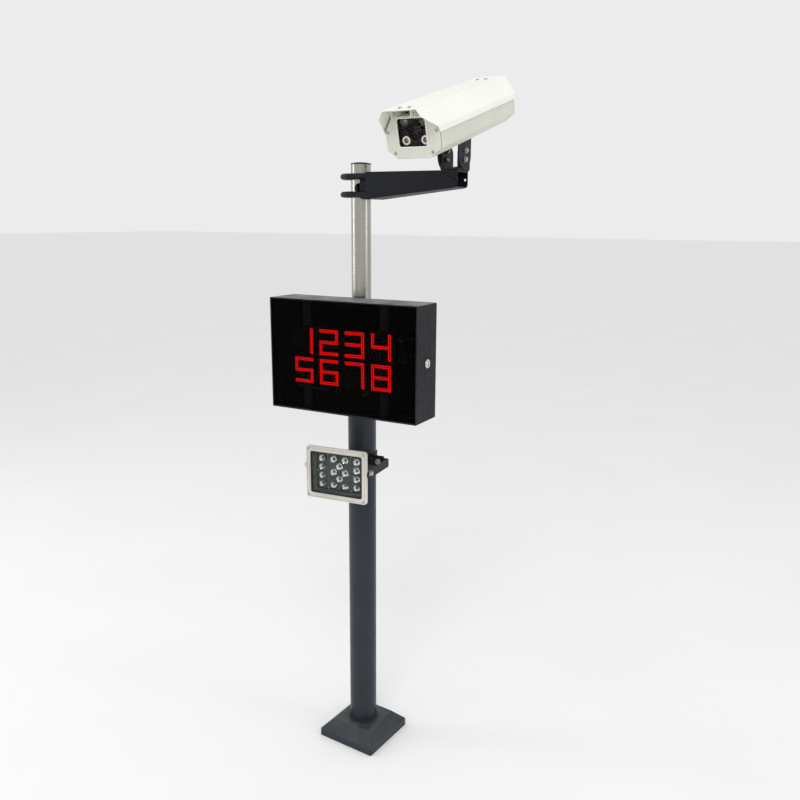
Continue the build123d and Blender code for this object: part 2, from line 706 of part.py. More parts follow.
with BuildPart() as upper_yoke:
    with BuildSketch(Plane.YZ.offset(PAN_X - ear_out)):
        with Locations((PIVOT_Y, PIVOT_Z + EAR_RISE)):
            Circle(EAR_R)
        with Locations((PIVOT_Y, PIVOT_Z + EAR_RISE + EAR_R)):
            Rectangle(2 * EAR_R, 2 * EAR_R)
    extrude(amount=2 * ear_out)
    with BuildSketch(Plane.YZ.offset(PAN_X - ear_out + YOKE_SHEET)):
        with Locations((PIVOT_Y, PIVOT_Z + 20)):
            Rectangle(100, 120)
    extrude(amount=2 * (ear_out - YOKE_SHEET), mode=Mode.SUBTRACT)
    with BuildSketch(lengthwise(-ear_out)):
        with Locations((saddle_mid, body_floor + EAR_R)):
            Rectangle(200, 2 * EAR_R)
    extrude(amount=2 * ear_out, mode=Mode.SUBTRACT)
    with BuildSketch(lengthwise(-ear_out)):
        with Locations((saddle_mid, body_floor - YOKE_SHEET / 2)):
            Rectangle(SADDLE_BACK - SADDLE_FRONT, YOKE_SHEET)
    extrude(amount=2 * ear_out)
    slot_start = SLOT_ANGLE - degrees(TILT) - SLOT_SWEEP
    with BuildSketch(lengthwise()):
        with Locations((pivot_along, pivot_up)):
            Circle(BRACKET_HOLE_R)
    extrude(amount=60, both=True, mode=Mode.SUBTRACT)
    with BuildSketch(lengthwise()):
        with BuildLine():
            outer = CenterArc((pivot_along, pivot_up), SLOT_R + SLOT_HALF, slot_start, 2 * SLOT_SWEEP)
            inner = CenterArc((pivot_along, pivot_up), SLOT_R - SLOT_HALF, slot_start, 2 * SLOT_SWEEP)
            for end, angle in ((0, slot_start - SLOT_ROUND), (1, slot_start + 2 * SLOT_SWEEP + SLOT_ROUND)):
                tip = (pivot_along + SLOT_R * cos(radians(angle)), pivot_up + SLOT_R * sin(radians(angle)))
                ThreePointArc(outer @ end, tip, inner @ end)
        make_face()
    extrude(amount=60, both=True, mode=Mode.SUBTRACT)
write(upper_yoke, "upper_yoke")

with BuildPart() as bracket_bolts:
    hex_fastener(Plane(origin=(PAN_X, 0, yoke_floor + YOKE_SHEET)), 10, 4, BRACKET_BOLT_R, 16)
    for side in (-1, 1):
        for y, z in ((PIVOT_Y, PIVOT_Z), (slot_y, slot_z)):
            seat = outward_plane(PAN_X + side * (ear_out + 0.2), y, z, side)
            hex_fastener(seat, 10, 4, BRACKET_BOLT_R, 16)
write(bracket_bolts, "bracket_bolts")

with BuildPart() as bracket_nuts:
    hex_nut(Plane(origin=(PAN_X, 0, ARM_TOP - YOKE_SHEET - 0.2), z_dir=(0, 0, -1)), 10, 5, BRACKET_BOLT_R)
    for side in (-1, 1):
        for y, z in ((PIVOT_Y, PIVOT_Z), (slot_y, slot_z)):
            seat = outward_plane(PAN_X + side * (YOKE_HALF - YOKE_SHEET), y, z, -side)
            hex_nut(seat, 10, 5, BRACKET_BOLT_R)
write(bracket_nuts, "bracket_nuts")

# ==== camera housing ======================================================

gasket_thick = 1.5
plate_thick = 6
body_front = PLATE_FRONT + plate_thick + gasket_thick


with BuildPart() as housing_body:
    with BuildSketch(across(body_front)):
        Polygon(*mirrored(BODY_POINTS), align=None)
        fillet(vertices(), 3)
        offset(amount=-BODY_WALL, mode=Mode.SUBTRACT)
    extrude(amount=body_front - BODY_BACK)
write(housing_body, "housing_body")


def end_screws(plane):
    with BuildSketch(plane) as holes:
        with Locations(END_SCREWS):
            Circle(2.2)
    extrude(holes.sketch, amount=-12, both=True, mode=Mode.SUBTRACT)


with BuildPart() as housing_front:
    with BuildSketch(across(PLATE_FRONT)):
        Polygon(*mirrored(BODY_POINTS), align=None)
        fillet(vertices(), 5)
    extrude(amount=-plate_thick)
    chamfer(housing_front.faces().sort_by(Axis.Y)[0].edges(), 1.2)
    with BuildSketch(across(PLATE_FRONT)):
        with Locations((0, WINDOW_UP)):
            RectangleRounded(67.5, 58.5, 5)
    extrude(amount=-plate_thick, mode=Mode.SUBTRACT)
    with BuildSketch(across(PLATE_FRONT + 3)):
        with Locations((0, WINDOW_UP)):
            RectangleRounded(74.4, 65.4, 6)
    extrude(amount=-plate_thick, mode=Mode.SUBTRACT)
    end_screws(across(PLATE_FRONT))
write(housing_front, "housing_front")

with BuildPart() as window_glass:
    with BuildSketch(across(PLATE_FRONT + 3)):
        with Locations((0, WINDOW_UP)):
            RectangleRounded(74, 65, 6)
    extrude(amount=-3)
write(window_glass, "window_glass")

with BuildPart() as housing_rear:
    with BuildSketch(across(BODY_BACK + gasket_thick)):
        Polygon(*mirrored(BODY_POINTS), align=None)
        fillet(vertices(), 5)
    extrude(amount=-5)
    chamfer(housing_rear.faces().sort_by(Axis.Y)[-1].edges(), 1.2)
    end_screws(across(BODY_BACK + gasket_thick + 1))
    with BuildSketch(across(BODY_BACK)):
        with Locations((-20, -84), (20, -84)):
            Circle(7.8)
    extrude(amount=-12, mode=Mode.SUBTRACT)
write(housing_rear, "housing_rear")

with BuildPart() as housing_gaskets:
    for start in (PLATE_FRONT + plate_thick, BODY_BACK):
        with BuildSketch(across(start)):
            Polygon(*mirrored(BODY_POINTS), align=None)
            offset(amount=-0.8, mode=Mode.REPLACE)
            offset(amount=-2.4, mode=Mode.SUBTRACT)
        extrude(amount=-gasket_thick)
write(housing_gaskets, "housing_gaskets")

with BuildPart() as end_plate_screws:
    for start, side, inward in ((PLATE_FRONT, 1, 1), (BODY_BACK + gasket_thick + 5, -1, -1)):
        for x, y in END_SCREWS:
            with BuildSketch(across(start)):
                with Locations((x, y)):
                    Circle(3.6)
            extrude(amount=1.8 * side)
            with BuildSketch(across(start)):
                with Locations((x, y)):
                    Circle(2.15)
            extrude(amount=-5 * inward)
write(end_plate_screws, "end_plate_screws")

with BuildPart() as housing_glands:
    for x in (-20, 20):
        back = across(BODY_BACK + gasket_thick + 5)
        seat = Plane(origin=back.from_local_coords((x, -84, 0)), x_dir=(1, 0, 0), z_dir=-back.z_dir)
        gland(seat, 3.5, 9.5)
write(housing_glands, "housing_glands")

with BuildPart() as camera_tray:
    with BuildSketch(across(-215)):
        with Locations((0, -101)):
            Rectangle(76, 3)
    extrude(amount=-370)
    with BuildSketch(level(-99.5)):
        with Locations((0, -130)):
            Rectangle(30, 60)
    extrude(amount=17)
write(camera_tray, "camera_tray")

with BuildPart() as camera_block:
    with BuildSketch(across(-190)):
        with Locations((0, LENS_UP)):
            RectangleRounded(60, 60, 4)
    extrude(amount=-118)
    with BuildSketch(across(-190)):
        with Locations((0, LENS_UP)):
            Circle(16)
    extrude(amount=4)
write(camera_block, "camera_block")

with BuildPart() as camera_lens:
    with BuildSketch(across(-194)):
        with Locations((0, LENS_UP)):
            Circle(15)
    extrude(amount=12)
    with BuildSketch(across(-206)):
        with Locations((0, LENS_UP)):
            Circle(19)
    extrude(amount=24)
    with BuildSketch(across(-230)):
        with Locations((0, LENS_UP)):
            Circle(16)
    extrude(amount=-5, taper=30, mode=Mode.SUBTRACT)
write(camera_lens, "camera_lens")

lamp_points = [(x, LENS_UP + z) for x in (-LAMP_X, LAMP_X) for z in (-LAMP_RISE, LAMP_RISE)]
with BuildPart() as lamp_plate:
    with BuildSketch(across(-228)):
        with Locations((0, WINDOW_UP)):
            RectangleRounded(84, 62, 4)
        with Locations((0, LENS_UP)):
            Circle(19.4, mode=Mode.SUBTRACT)
        with Locations(lamp_points):
            Circle(8, mode=Mode.SUBTRACT)
    extrude(amount=-2)
write(lamp_plate, "lamp_plate")

with BuildPart() as ring_lamps:
    for x, z in lamp_points:
        with BuildSketch(across(-228)):
            with Locations((x, z)):
                Circle(9.3)
                Circle(5.6, mode=Mode.SUBTRACT)
        extrude(amount=3)
        with BuildSketch(across(-228)):
            with Locations((x, z)):
                Circle(7.8)
        extrude(amount=-9)
write(ring_lamps, "ring_lamps")

# ==== sunshield ===========================================================

ridge_x = SHIELD_POINTS[0][0]
side_x, fold_up = SHIELD_POINTS[1]
hem_up = SHIELD_POINTS[2][1]

with BuildPart() as sunshield:
    with BuildSketch(across(SHIELD_FRONT)):
        Polygon(*mirrored(SHIELD_POINTS), align=None)
        offset(amount=-SHIELD_SHEET, mode=Mode.SUBTRACT)
        with Locations((0, hem_up)):
            Rectangle(2 * (side_x - SHIELD_SHEET), 4, mode=Mode.SUBTRACT)
    extrude(amount=SHIELD_FRONT - SHIELD_BACK)
    with BuildSketch(lengthwise(-80)):
        Polygon((SHIELD_FRONT - 1, -16), (SHIELD_FRONT, -16), (SHIELD_FRONT + 42, fold_up),
                (SHIELD_FRONT + 48.5, hem_up), (SHIELD_FRONT + 49, hem_up - 5), (SHIELD_FRONT - 1, hem_up - 5),
                align=None)
    extrude(amount=160, mode=Mode.SUBTRACT)
    with BuildSketch(level(2)):
        with Locations([(x, y) for x in (-SHIELD_BOLT_X, SHIELD_BOLT_X) for y in SHIELD_BOLT_ALONG]):
            SlotOverall(24, 4.6, rotation=90)
    extrude(amount=-6, mode=Mode.SUBTRACT)
write(sunshield, "sunshield")

bracket_top = -SHIELD_SHEET - 0.3
bracket_foot = BODY_POINTS[0][1]
shield_bolts = [(x, y) for x in (-SHIELD_BOLT_X, SHIELD_BOLT_X) for y in SHIELD_BOLT_ALONG]
foot_screws = [(x, y) for x in (-FOOT_SCREW_X, FOOT_SCREW_X) for y in (-208, 122, 168)]

with BuildPart() as shield_brackets:
    for front, back, foot_front in ((-284, -200, -234), (110, 180, 110)):
        with BuildSketch(across(front)):
            with Locations((0, (bracket_top + bracket_foot) / 2)):
                Rectangle(2 * BRACKET_HALF, bracket_top - bracket_foot)
            with Locations((0, (bracket_top + bracket_foot) / 2 - BRACKET_SHEET)):
                Rectangle(2 * (BRACKET_HALF - BRACKET_SHEET), bracket_top - bracket_foot, mode=Mode.SUBTRACT)
        extrude(amount=front - back)
        with BuildSketch(across(foot_front)):
            with Locations((-FOOT_SCREW_X, bracket_foot + BRACKET_SHEET / 2),
                           (FOOT_SCREW_X, bracket_foot + BRACKET_SHEET / 2)):
                Rectangle(2 * (BRACKET_HALF - FOOT_SCREW_X), BRACKET_SHEET)
        extrude(amount=foot_front - back)
    with BuildSketch(lengthwise(-BRACKET_HALF)):
        with Locations((-262, bracket_foot)):
            Rectangle(56, 4)
        with Locations((-270, -9.5)):
            Circle(3.5)
    extrude(amount=2 * BRACKET_HALF, mode=Mode.SUBTRACT)
    with BuildSketch(level(5)):
        with Locations(shield_bolts):
            Circle(2.05)
    extrude(amount=-12, mode=Mode.SUBTRACT)
    with BuildSketch(level(bracket_foot - 1)):
        with Locations(foot_screws):
            Circle(1.7)
    extrude(amount=5, mode=Mode.SUBTRACT)
write(shield_brackets, "shield_brackets")

with BuildPart() as shield_screws:
    for points, seat, head_r, head, shank_r, shank in ((shield_bolts, 0.3, 4, 2, 2, 8),
                                                       (foot_screws, bracket_foot + BRACKET_SHEET, 3, 1.6, 1.65, 2)):
        for point in points:
            with BuildSketch(level(seat)):
                with Locations(point):
                    Circle(head_r)
            extrude(amount=head)
            with BuildSketch(level(seat)):
                with Locations(point):
                    Circle(shank_r)
            extrude(amount=-shank)
write(shield_screws, "shield_screws")

# ==== floodlight ==========================================================

frame_back = FLOOD_FACE + FRAME_DEPTH
window_w, window_h = FLOOD_WINDOW

with BuildPart() as flood_frame:
    with BuildSketch(flood_front(FLOOD_FACE)):
        with Locations((0, FLOOD_Z)):
            Rectangle(FLOOD_WIDTH, FLOOD_HEIGHT)
            chamfer(vertices(), 5)
    extrude(amount=-FRAME_DEPTH)
    chamfer(flood_frame.faces().sort_by(Axis.Y)[0].edges(), 2)
    with BuildSketch(flood_front(FLOOD_FACE)):
        with Locations((0, FLOOD_Z)):
            RectangleRounded(window_w, window_h, 3)
    extrude(amount=-12, mode=Mode.SUBTRACT)
    with BuildSketch(flood_front(FLOOD_FACE + 5)):
        with Locations((0, FLOOD_Z)):
            RectangleRounded(window_w + 10.4, window_h + 10.4, 5)
    extrude(amount=-12, mode=Mode.SUBTRACT)
write(flood_frame, "flood_frame")

with BuildPart() as flood_glass:
    with BuildSketch(flood_front(FLOOD_FACE + 5)):
        with Locations((0, FLOOD_Z)):
            RectangleRounded(window_w + 10, window_h + 10, 5)
    extrude(amount=-4)
write(flood_glass, "flood_glass")


def flood_shell(front, back, size_front, size_back, mode=Mode.ADD):
    sections = []
    for y, (wide, high) in ((front, size_front), (back, size_back)):
        with BuildSketch(flood_front(y)) as section:
            with Locations((0, FLOOD_Z)):
                RectangleRounded(wide, high, 8)
        sections.append(section.sketch)
    loft(sections, mode=mode)


pivot_y, pivot_z = FLOOD_PIVOT
with BuildPart() as flood_housing:
    flood_shell(frame_back, -104, (168, 132), (128, 96))
    for side in (-1, 1):
        with BuildSketch(Plane(origin=turned(side * (STRAP_HALF - STRAP - 0.4), pivot_y) + Vector(0, 0, pivot_z),
                               z_dir=turned(-side, 0))):
            Circle(6.8)
        extrude(amount=16)
    for index in range(9):
        with BuildSketch(flood_side(-48 + 12 * index)):
            with Locations((-100, FLOOD_Z)):
                Rectangle(14, 86)
        extrude(amount=1.2, both=True)
    flood_shell(frame_back - 1, -108, (160, 124), (121, 89), mode=Mode.SUBTRACT)
    for side in (-1, 1):
        with BuildSketch(Plane(origin=turned(side * 100, pivot_y) + Vector(0, 0, pivot_z),
                               z_dir=turned(-side, 0))):
            Circle(3)
        extrude(amount=22, mode=Mode.SUBTRACT)
write(flood_housing, "flood_housing")

board_y = FLOOD_FACE + BOARD_DEPTH
with BuildPart() as flood_board:
    with BuildSketch(flood_front(board_y)):
        with Locations((0, FLOOD_Z)):
            RectangleRounded(140, 104, 4)
    extrude(amount=-2)
write(flood_board, "flood_board")

lens_points = [((column - 1.5) * 33.3, (row - 1.5) * 23)
               for column in range(4) for row in range(4) if column in (0, 3) or row in (0, 3)]
lens_points += [(0, 17), (0, -17), (-16.7, 0), (16.7, 0)]

with BuildPart() as flood_lenses:
    for x, z in lens_points:
        with BuildSketch(flood_front(board_y)):
            with Locations((x, FLOOD_Z + z)):
                Circle(9.8)
        extrude(amount=4, taper=12)
write(flood_lenses, "flood_lenses")

with BuildPart() as frame_screws:
    for x in (-1, 1):
        for z in (-1, 1):
            spot = (x * (FLOOD_WIDTH / 2 - 7), FLOOD_Z + z * (FLOOD_HEIGHT / 2 - 7))
            with BuildSketch(flood_front(FLOOD_FACE)):
                with Locations(spot):
                    Circle(3.4)
            extrude(amount=1.5)
write(frame_screws, "frame_screws")

strap_front = pivot_y - STRAP_HEIGHT / 2
with BuildPart() as flood_bracket:
    with BuildSketch(flood_top(STRAP_Z - STRAP_HEIGHT / 2)):
        with Locations((0, STRAP_BACK - STRAP / 2)):
            Rectangle(2 * STRAP_HALF, STRAP)
        for side in (-1, 1):
            with Locations((side * (STRAP_HALF - STRAP / 2), (strap_front + STRAP_BACK) / 2)):
                Rectangle(STRAP, STRAP_BACK - strap_front)
        with Locations((0, 0)):
            Circle(LOWER_R + PIPE_GAP + STRAP)
        with Locations((0, 100 + STRAP_BACK)):
            Rectangle(2 * STRAP_HALF + 10, 200, mode=Mode.SUBTRACT)
        Circle(LOWER_R + PIPE_GAP, mode=Mode.SUBTRACT)
    extrude(amount=STRAP_HEIGHT)
    ends = flood_bracket.faces().sort_by(Axis.Y)[:2]
    fillet([e for face in ends for e in face.edges() if e.length < STRAP + 0.1], 10.8)
    for side in (-1, 1):
        with BuildSketch(Plane(origin=turned(side * 100, pivot_y) + Vector(0, 0, pivot_z),
                               z_dir=turned(-side, 0))):
            Circle(4.1)
        extrude(amount=20, mode=Mode.SUBTRACT)
    with BuildSketch(flood_front(STRAP_BACK - 10)):
        with Locations((-HOOP_BOLT_X, STRAP_Z), (HOOP_BOLT_X, STRAP_Z)):
            Circle(4.2)
    extrude(amount=-20, mode=Mode.SUBTRACT)
write(flood_bracket, "flood_bracket")

hoop_height = STRAP_HEIGHT + 8
with BuildPart() as flood_hoop:
    with BuildSketch(flood_top(STRAP_Z - hoop_height / 2)):
        with Locations((0, STRAP_BACK + STRAP / 2)):
            Rectangle(2 * (HOOP_BOLT_X + 14), STRAP)
        Circle(LOWER_R + PIPE_GAP + STRAP)
        with Locations((0, STRAP_BACK - 50)):
            Rectangle(200, 100, mode=Mode.SUBTRACT)
        Circle(LOWER_R + PIPE_GAP, mode=Mode.SUBTRACT)
    extrude(amount=hoop_height)
    with BuildSketch(flood_front(STRAP_BACK - 10)):
        with Locations((-HOOP_BOLT_X, STRAP_Z), (HOOP_BOLT_X, STRAP_Z)):
            Circle(4.2)
    extrude(amount=-20, mode=Mode.SUBTRACT)
    for x in (-HOOP_BOLT_X, HOOP_BOLT_X):
        back = flood_front(STRAP_BACK + STRAP)
        seat = Plane(origin=back.from_local_coords((x, STRAP_Z, 0)), x_dir=back.x_dir, z_dir=-back.z_dir)
        hex_nut(seat, 13, 6.5, 4)
write(flood_hoop, "flood_hoop")

with BuildPart() as hoop_bolts:
    for x in (-HOOP_BOLT_X, HOOP_BOLT_X):
        front = flood_front(STRAP_BACK - STRAP)
        seat = Plane(origin=front.from_local_coords((x, STRAP_Z, 0)), x_dir=front.x_dir, z_dir=front.z_dir)
        hex_fastener(seat, 13, 5.3, 4, 22)
write(hoop_bolts, "hoop_bolts")

with BuildPart() as flood_pivot_bolts:
    for side in (-1, 1):
        seat = Plane(origin=turned(side * (STRAP_HALF + 0.3), pivot_y) + Vector(0, 0, pivot_z),
                     z_dir=turned(side, 0))
        with BuildSketch(seat):
            Circle(7)
        extrude(amount=1.5)
        hex_fastener(seat.offset(1.5), 10, 5, 3, 14)
write(flood_pivot_bolts, "flood_pivot_bolts")
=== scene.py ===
from math import cos, pi, radians, sin

import bmesh
import bpy
from mathutils import Matrix, Vector


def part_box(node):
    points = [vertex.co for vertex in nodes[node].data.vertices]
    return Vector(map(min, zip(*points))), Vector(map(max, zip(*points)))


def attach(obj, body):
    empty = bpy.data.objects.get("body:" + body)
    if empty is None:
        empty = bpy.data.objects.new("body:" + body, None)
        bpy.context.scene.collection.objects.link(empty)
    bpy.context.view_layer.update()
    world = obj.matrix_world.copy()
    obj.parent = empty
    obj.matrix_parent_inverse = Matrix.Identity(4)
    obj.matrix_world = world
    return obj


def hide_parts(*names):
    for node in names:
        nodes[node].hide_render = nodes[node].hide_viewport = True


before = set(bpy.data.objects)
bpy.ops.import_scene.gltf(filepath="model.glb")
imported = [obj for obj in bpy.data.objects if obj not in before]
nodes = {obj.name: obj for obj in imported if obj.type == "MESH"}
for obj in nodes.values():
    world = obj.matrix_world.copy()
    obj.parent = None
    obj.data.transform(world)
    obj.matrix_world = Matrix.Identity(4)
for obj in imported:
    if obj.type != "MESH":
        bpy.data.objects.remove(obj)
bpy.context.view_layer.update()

# ---- places and sizes that several pieces share, in metres
X_AXIS, Y_AXIS, Z_AXIS = Vector((1, 0, 0)), Vector((0, 1, 0)), Vector((0, 0, 1))
HOUSING_TILT = radians(15.6)
RIDGE = Vector((0.263, 0, 1.7784))        # on the sunshield's ridge, above the tilt pivot
along_housing = Vector((0, cos(HOUSING_TILT), sin(HOUSING_TILT)))
LAMP_TURN = radians(5)
LAMP_MIDDLE = Vector((0, 0, 0.836))
across_lamp = Vector((cos(LAMP_TURN), sin(LAMP_TURN), 0))
lamp_forward = Vector((sin(LAMP_TURN), -cos(LAMP_TURN), 0))
DOT_PITCH = 0.00475
PIPE_R = 0.0255
CABLE_HOLE_R, CABLE_HOLE_Z, CABLE_HOLE_TURN = 0.0130, 1.555, radians(23)
LAMP_BOARD_FACE = 0.1304
DISPLAY_COLUMNS, DISPLAY_ROWS = 64, 32


def placed(origin, x_axis, z_axis):
    """Matrix that puts a piece's own x and z along the two directions."""
    x_axis, z_axis = x_axis.normalized(), z_axis.normalized()
    y_axis = z_axis.cross(x_axis)
    return Matrix.Translation(origin) @ Matrix((x_axis, y_axis, z_axis)).transposed().to_4x4()


def facing(origin, direction):
    """The same, where only the z direction matters."""
    side = X_AXIS if abs(direction.x) < 0.7 else Z_AXIS
    return placed(origin, side.cross(direction).cross(direction) * -1, direction)


HOUSING = placed(RIDGE, X_AXIS, -along_housing)          # x across, y up, z forwards
LAMP = placed(LAMP_MIDDLE, across_lamp, lamp_forward)    # the same three directions


# ==== materials ===========================================================

def tone(red, green, blue):
    """A colour as it looks on a screen, from 0 to 255, as the linear values that shaders take."""
    return [((channel / 255 + 0.055) / 1.055) ** 2.4 for channel in (red, green, blue)]


class Shader:
    """A node material being made: short helpers round one Principled shader."""

    def __init__(self, name, roughness=0.5, metallic=0.0, **sockets):
        self.material = bpy.data.materials.new(name)
        self.material.use_nodes = True
        self.tree = self.material.node_tree
        self.shader = self.tree.nodes["Principled BSDF"]
        self.shader.inputs["Roughness"].default_value = roughness
        self.shader.inputs["Metallic"].default_value = metallic
        for key, value in sockets.items():
            self.shader.inputs[key.replace("_", " ")].default_value = value
        self.place = self.tree.nodes.new("ShaderNodeTexCoord").outputs["Object"]

    def add(self, kind, **settings):
        node = self.tree.nodes.new(kind)
        for key, value in settings.items():
            setattr(node, key, value)
        return node

    def feed(self, socket, value):
        """Gives a socket a value, a colour or another node's output."""
        if isinstance(value, bpy.types.NodeSocket):
            self.tree.links.new(value, socket)
        elif hasattr(value, "__len__") and len(socket.default_value) == 4:
            socket.default_value = (*value, 1)
        else:
            socket.default_value = value

    def stretched(self, scale):
        mapping = self.add("ShaderNodeMapping")
        self.feed(mapping.inputs["Scale"], scale)
        self.feed(mapping.inputs["Vector"], self.place)
        return mapping.outputs[0]

    def noise(self, scale, detail=4.0, place=None):
        node = self.add("ShaderNodeTexNoise")
        self.feed(node.inputs["Scale"], scale)
        self.feed(node.inputs["Detail"], detail)
        self.feed(node.inputs["Vector"], place or self.place)
        return node.outputs["Fac"]

    def cells(self, scale):
        node = self.add("ShaderNodeTexVoronoi")
        self.feed(node.inputs["Scale"], scale)
        self.feed(node.inputs["Vector"], self.place)
        return node.outputs["Distance"]

    def ramp(self, value, *stops):
        """Colours or greys at positions along a value from 0 to 1."""
        node = self.add("ShaderNodeValToRGB")
        elements = node.color_ramp.elements
        while len(elements) < len(stops):
            elements.new(0.5)
        for element, (position, colour) in zip(elements, stops):
            element.position = position
            element.color = (*colour, 1) if hasattr(colour, "__len__") else (colour, colour, colour,
                                                                             1)
        self.feed(node.inputs["Fac"], value)
        return node.outputs["Color"]

    def times(self, first, second):
        node = self.add("ShaderNodeMath", operation="MULTIPLY")
        self.feed(node.inputs[0], first)
        self.feed(node.inputs[1], second)
        return node.outputs[0]

    def mix(self, factor, first, second):
        node = self.add("ShaderNodeMix", data_type="RGBA")
        for index, value in ((0, factor), (6, first), (7, second)):
            self.feed(node.inputs[index], value)
        return node.outputs[2]

    def edges(self, radius):
        """White along edges, where paint wears and dirt is rubbed off."""
        bevel = self.add("ShaderNodeBevel", samples=4)
        self.feed(bevel.inputs["Radius"], radius)
        dot = self.add("ShaderNodeVectorMath", operation="DOT_PRODUCT")
        self.feed(dot.inputs[0], bevel.outputs[0])
        self.feed(dot.inputs[1], self.add("ShaderNodeNewGeometry").outputs["Normal"])
        return self.ramp(dot.outputs["Value"], (0.86, 1.0), (0.985, 0.0))

    def upward(self):
        """White on faces that look up: a mask for dust and for painted top light."""
        split = self.add("ShaderNodeSeparateXYZ")
        self.feed(split.inputs[0], self.add("ShaderNodeNewGeometry").outputs["Normal"])
        return self.ramp(split.outputs["Z"], (0.5, 0.0), (0.95, 1.0))

    def set(self, socket, value):
        self.feed(self.shader.inputs[socket], value)

    def bump(self, height, distance, rounded=0.0005):
        """Relief of the given depth, over edges that are rounded a little."""
        bevel = self.add("ShaderNodeBevel", samples=4)
        self.feed(bevel.inputs["Radius"], rounded)
        node = self.add("ShaderNodeBump")
        self.feed(node.inputs["Distance"], distance)
        self.feed(node.inputs["Height"], height)
        self.feed(node.inputs["Normal"], bevel.outputs[0])
        self.set("Normal", node.outputs[0])


def paint(name, low, high, roughness=0.4, texture=700, depth=0.00003, worn=None, dust_and_top_light=None,
          rounded=0.0008, **more):
    """Painted metal: two close shades, orange peel, worn edges, and dust with painted top light on
    what looks up.
    """
    made = Shader(name, **more)
    shade = made.ramp(made.noise(9, 6), (0.35, low), (0.65, high))
    # Faces that look up get lighter patches: dust, and painted top light.
    if dust_and_top_light:
        patchy = made.times(made.upward(), made.ramp(made.noise(30, 6), (0.3, 0.06), (0.75, 0.4)))
        shade = made.mix(patchy, shade, dust_and_top_light)
    if worn:
        broken = made.times(made.edges(0.0012),
                            made.ramp(made.noise(160, 4), (0.5, 0.0), (0.62, 0.6)))
        shade = made.mix(broken, shade, worn)
    made.set("Base Color", shade)
    made.set("Roughness",
             made.ramp(made.noise(45, 6), (0.3, roughness - 0.06), (0.72, roughness + 0.09)))
    made.bump(made.noise(texture, 3), depth, rounded)
    return made.material


def metal(name, tint, roughness=0.3, grain=(1, 1, 1), depth=0.000008, rounded=0.0004):
    """Bare metal with fine marks, drawn out along the direction where the grain's scale is small."""
    made = Shader(name, metallic=1.0)
    marks = made.noise(260, 5, made.stretched(grain))
    made.set("Base Color",
             made.ramp(marks, (0.3, [0.8 * channel for channel in tint]), (0.7, tint)))
    made.set("Roughness",
             made.ramp(made.noise(60, 6), (0.3, roughness - 0.05), (0.75, roughness + 0.1)))
    made.bump(marks, depth, rounded)
    return made.material


def moulded(name, low, high, roughness=0.5, grain=1400, depth=0.00002, **more):
    """Plastic or rubber with a fine moulded grain."""
    made = Shader(name, **more)
    made.set("Base Color", made.ramp(made.noise(40, 5), (0.35, low), (0.7, high)))
    made.set("Roughness",
             made.ramp(made.noise(90, 4), (0.3, roughness - 0.06), (0.7, roughness + 0.08)))
    made.bump(made.cells(grain), depth)
    return made.material


def clear(name, tint, roughness=0.02, smears=0.05, bend=1.46):
    """Glass or acrylic with faint smears in its gloss; a low bend makes it anti-reflective."""
    made = Shader(name, Transmission_Weight=1.0, IOR=bend)
    made.set("Base Color",
             made.ramp(made.noise(12, 4), (0.3, tint), (0.7, [0.96 * part for part in tint])))
    made.set("Roughness", made.ramp(made.noise(22, 6), (0.4, roughness), (0.8, roughness + smears)))
    return made.material


def glowing(name, colour, light, strength):
    """A glowing face, brighter in some spots than others: a light source's, or a part's painted
    highlight.
    """
    made = Shader(name, roughness=0.35, Emission_Strength=strength)
    made.set("Base Color",
             made.ramp(made.noise(900, 2), (0.3, colour), (0.7, [0.8 * part for part in colour])))
    made.set("Emission Color",
             made.ramp(made.noise(1500, 2), (0.2, [0.85 * part for part in light]), (0.8, light)))
    return made.material


# The dust colours below whiten faces that look up: dust, and painted top light; on box_paint it is
# mostly painted top light.
pole_paint = paint("pole_paint", tone(33, 40, 47), tone(39, 46, 54), 0.36, worn=tone(120, 124, 128),
                   dust_and_top_light=tone(104, 106, 104), Specular_IOR_Level=0.3)
stainless = metal("stainless", tone(178, 176, 168), 0.22, grain=(1, 1, 0.02))
box_paint = paint("box_paint", tone(27, 26, 31), tone(34, 33, 38), 0.46, texture=1100,
                  depth=0.00006,
                  worn=tone(110, 110, 112), dust_and_top_light=tone(206, 206, 208), Specular_IOR_Level=0.12)
smoked_acrylic = clear("smoked_acrylic", [0.10, 0.09, 0.095], 0.02, 0.03, bend=1.1)
arm_paint = paint("arm_paint", tone(18, 20, 26), tone(24, 26, 32), 0.5, texture=1300, depth=0.00007,
                  worn=tone(108, 110, 114), dust_and_top_light=tone(66, 67, 70), Specular_IOR_Level=0.2)
black_paint = paint("black_paint", tone(17, 18, 20), tone(24, 25, 28), 0.46, texture=1000,
                    depth=0.00004,
                    worn=tone(96, 97, 100), Specular_IOR_Level=0.2)
housing_paint = paint("housing_paint", tone(202, 204, 190), tone(210, 212, 199), 0.36, texture=800,
                      depth=0.00003,
                      rounded=0.0011)
shield_paint = paint("shield_paint", tone(238, 238, 230), tone(243, 243, 236), 0.32, texture=800,
                     depth=0.00003,
                     rounded=0.0009)
lamp_paint = paint("lamp_paint", tone(190, 186, 178), tone(212, 208, 200), 0.5, texture=1500,
                   depth=0.00008,
                   worn=tone(222, 220, 214), rounded=0.0009)
inner_lamp_paint = paint("inner_lamp_paint", tone(104, 112, 112), tone(122, 130, 130), 0.4)
zinc = metal("zinc", tone(186, 186, 180), 0.34)
galvanised = metal("galvanised", tone(170, 172, 174), 0.45)
chrome = metal("chrome", tone(226, 226, 228), 0.1)
bare_aluminium = metal("bare_aluminium", tone(200, 202, 205), 0.38, grain=(1, 0.03, 1))
black_anodised = metal("black_anodised", tone(36, 36, 40), 0.3)
rubber = moulded("rubber", tone(20, 20, 21), tone(28, 28, 29), 0.66)
black_plastic = moulded("black_plastic", tone(18, 18, 20), tone(27, 27, 29), 0.42)
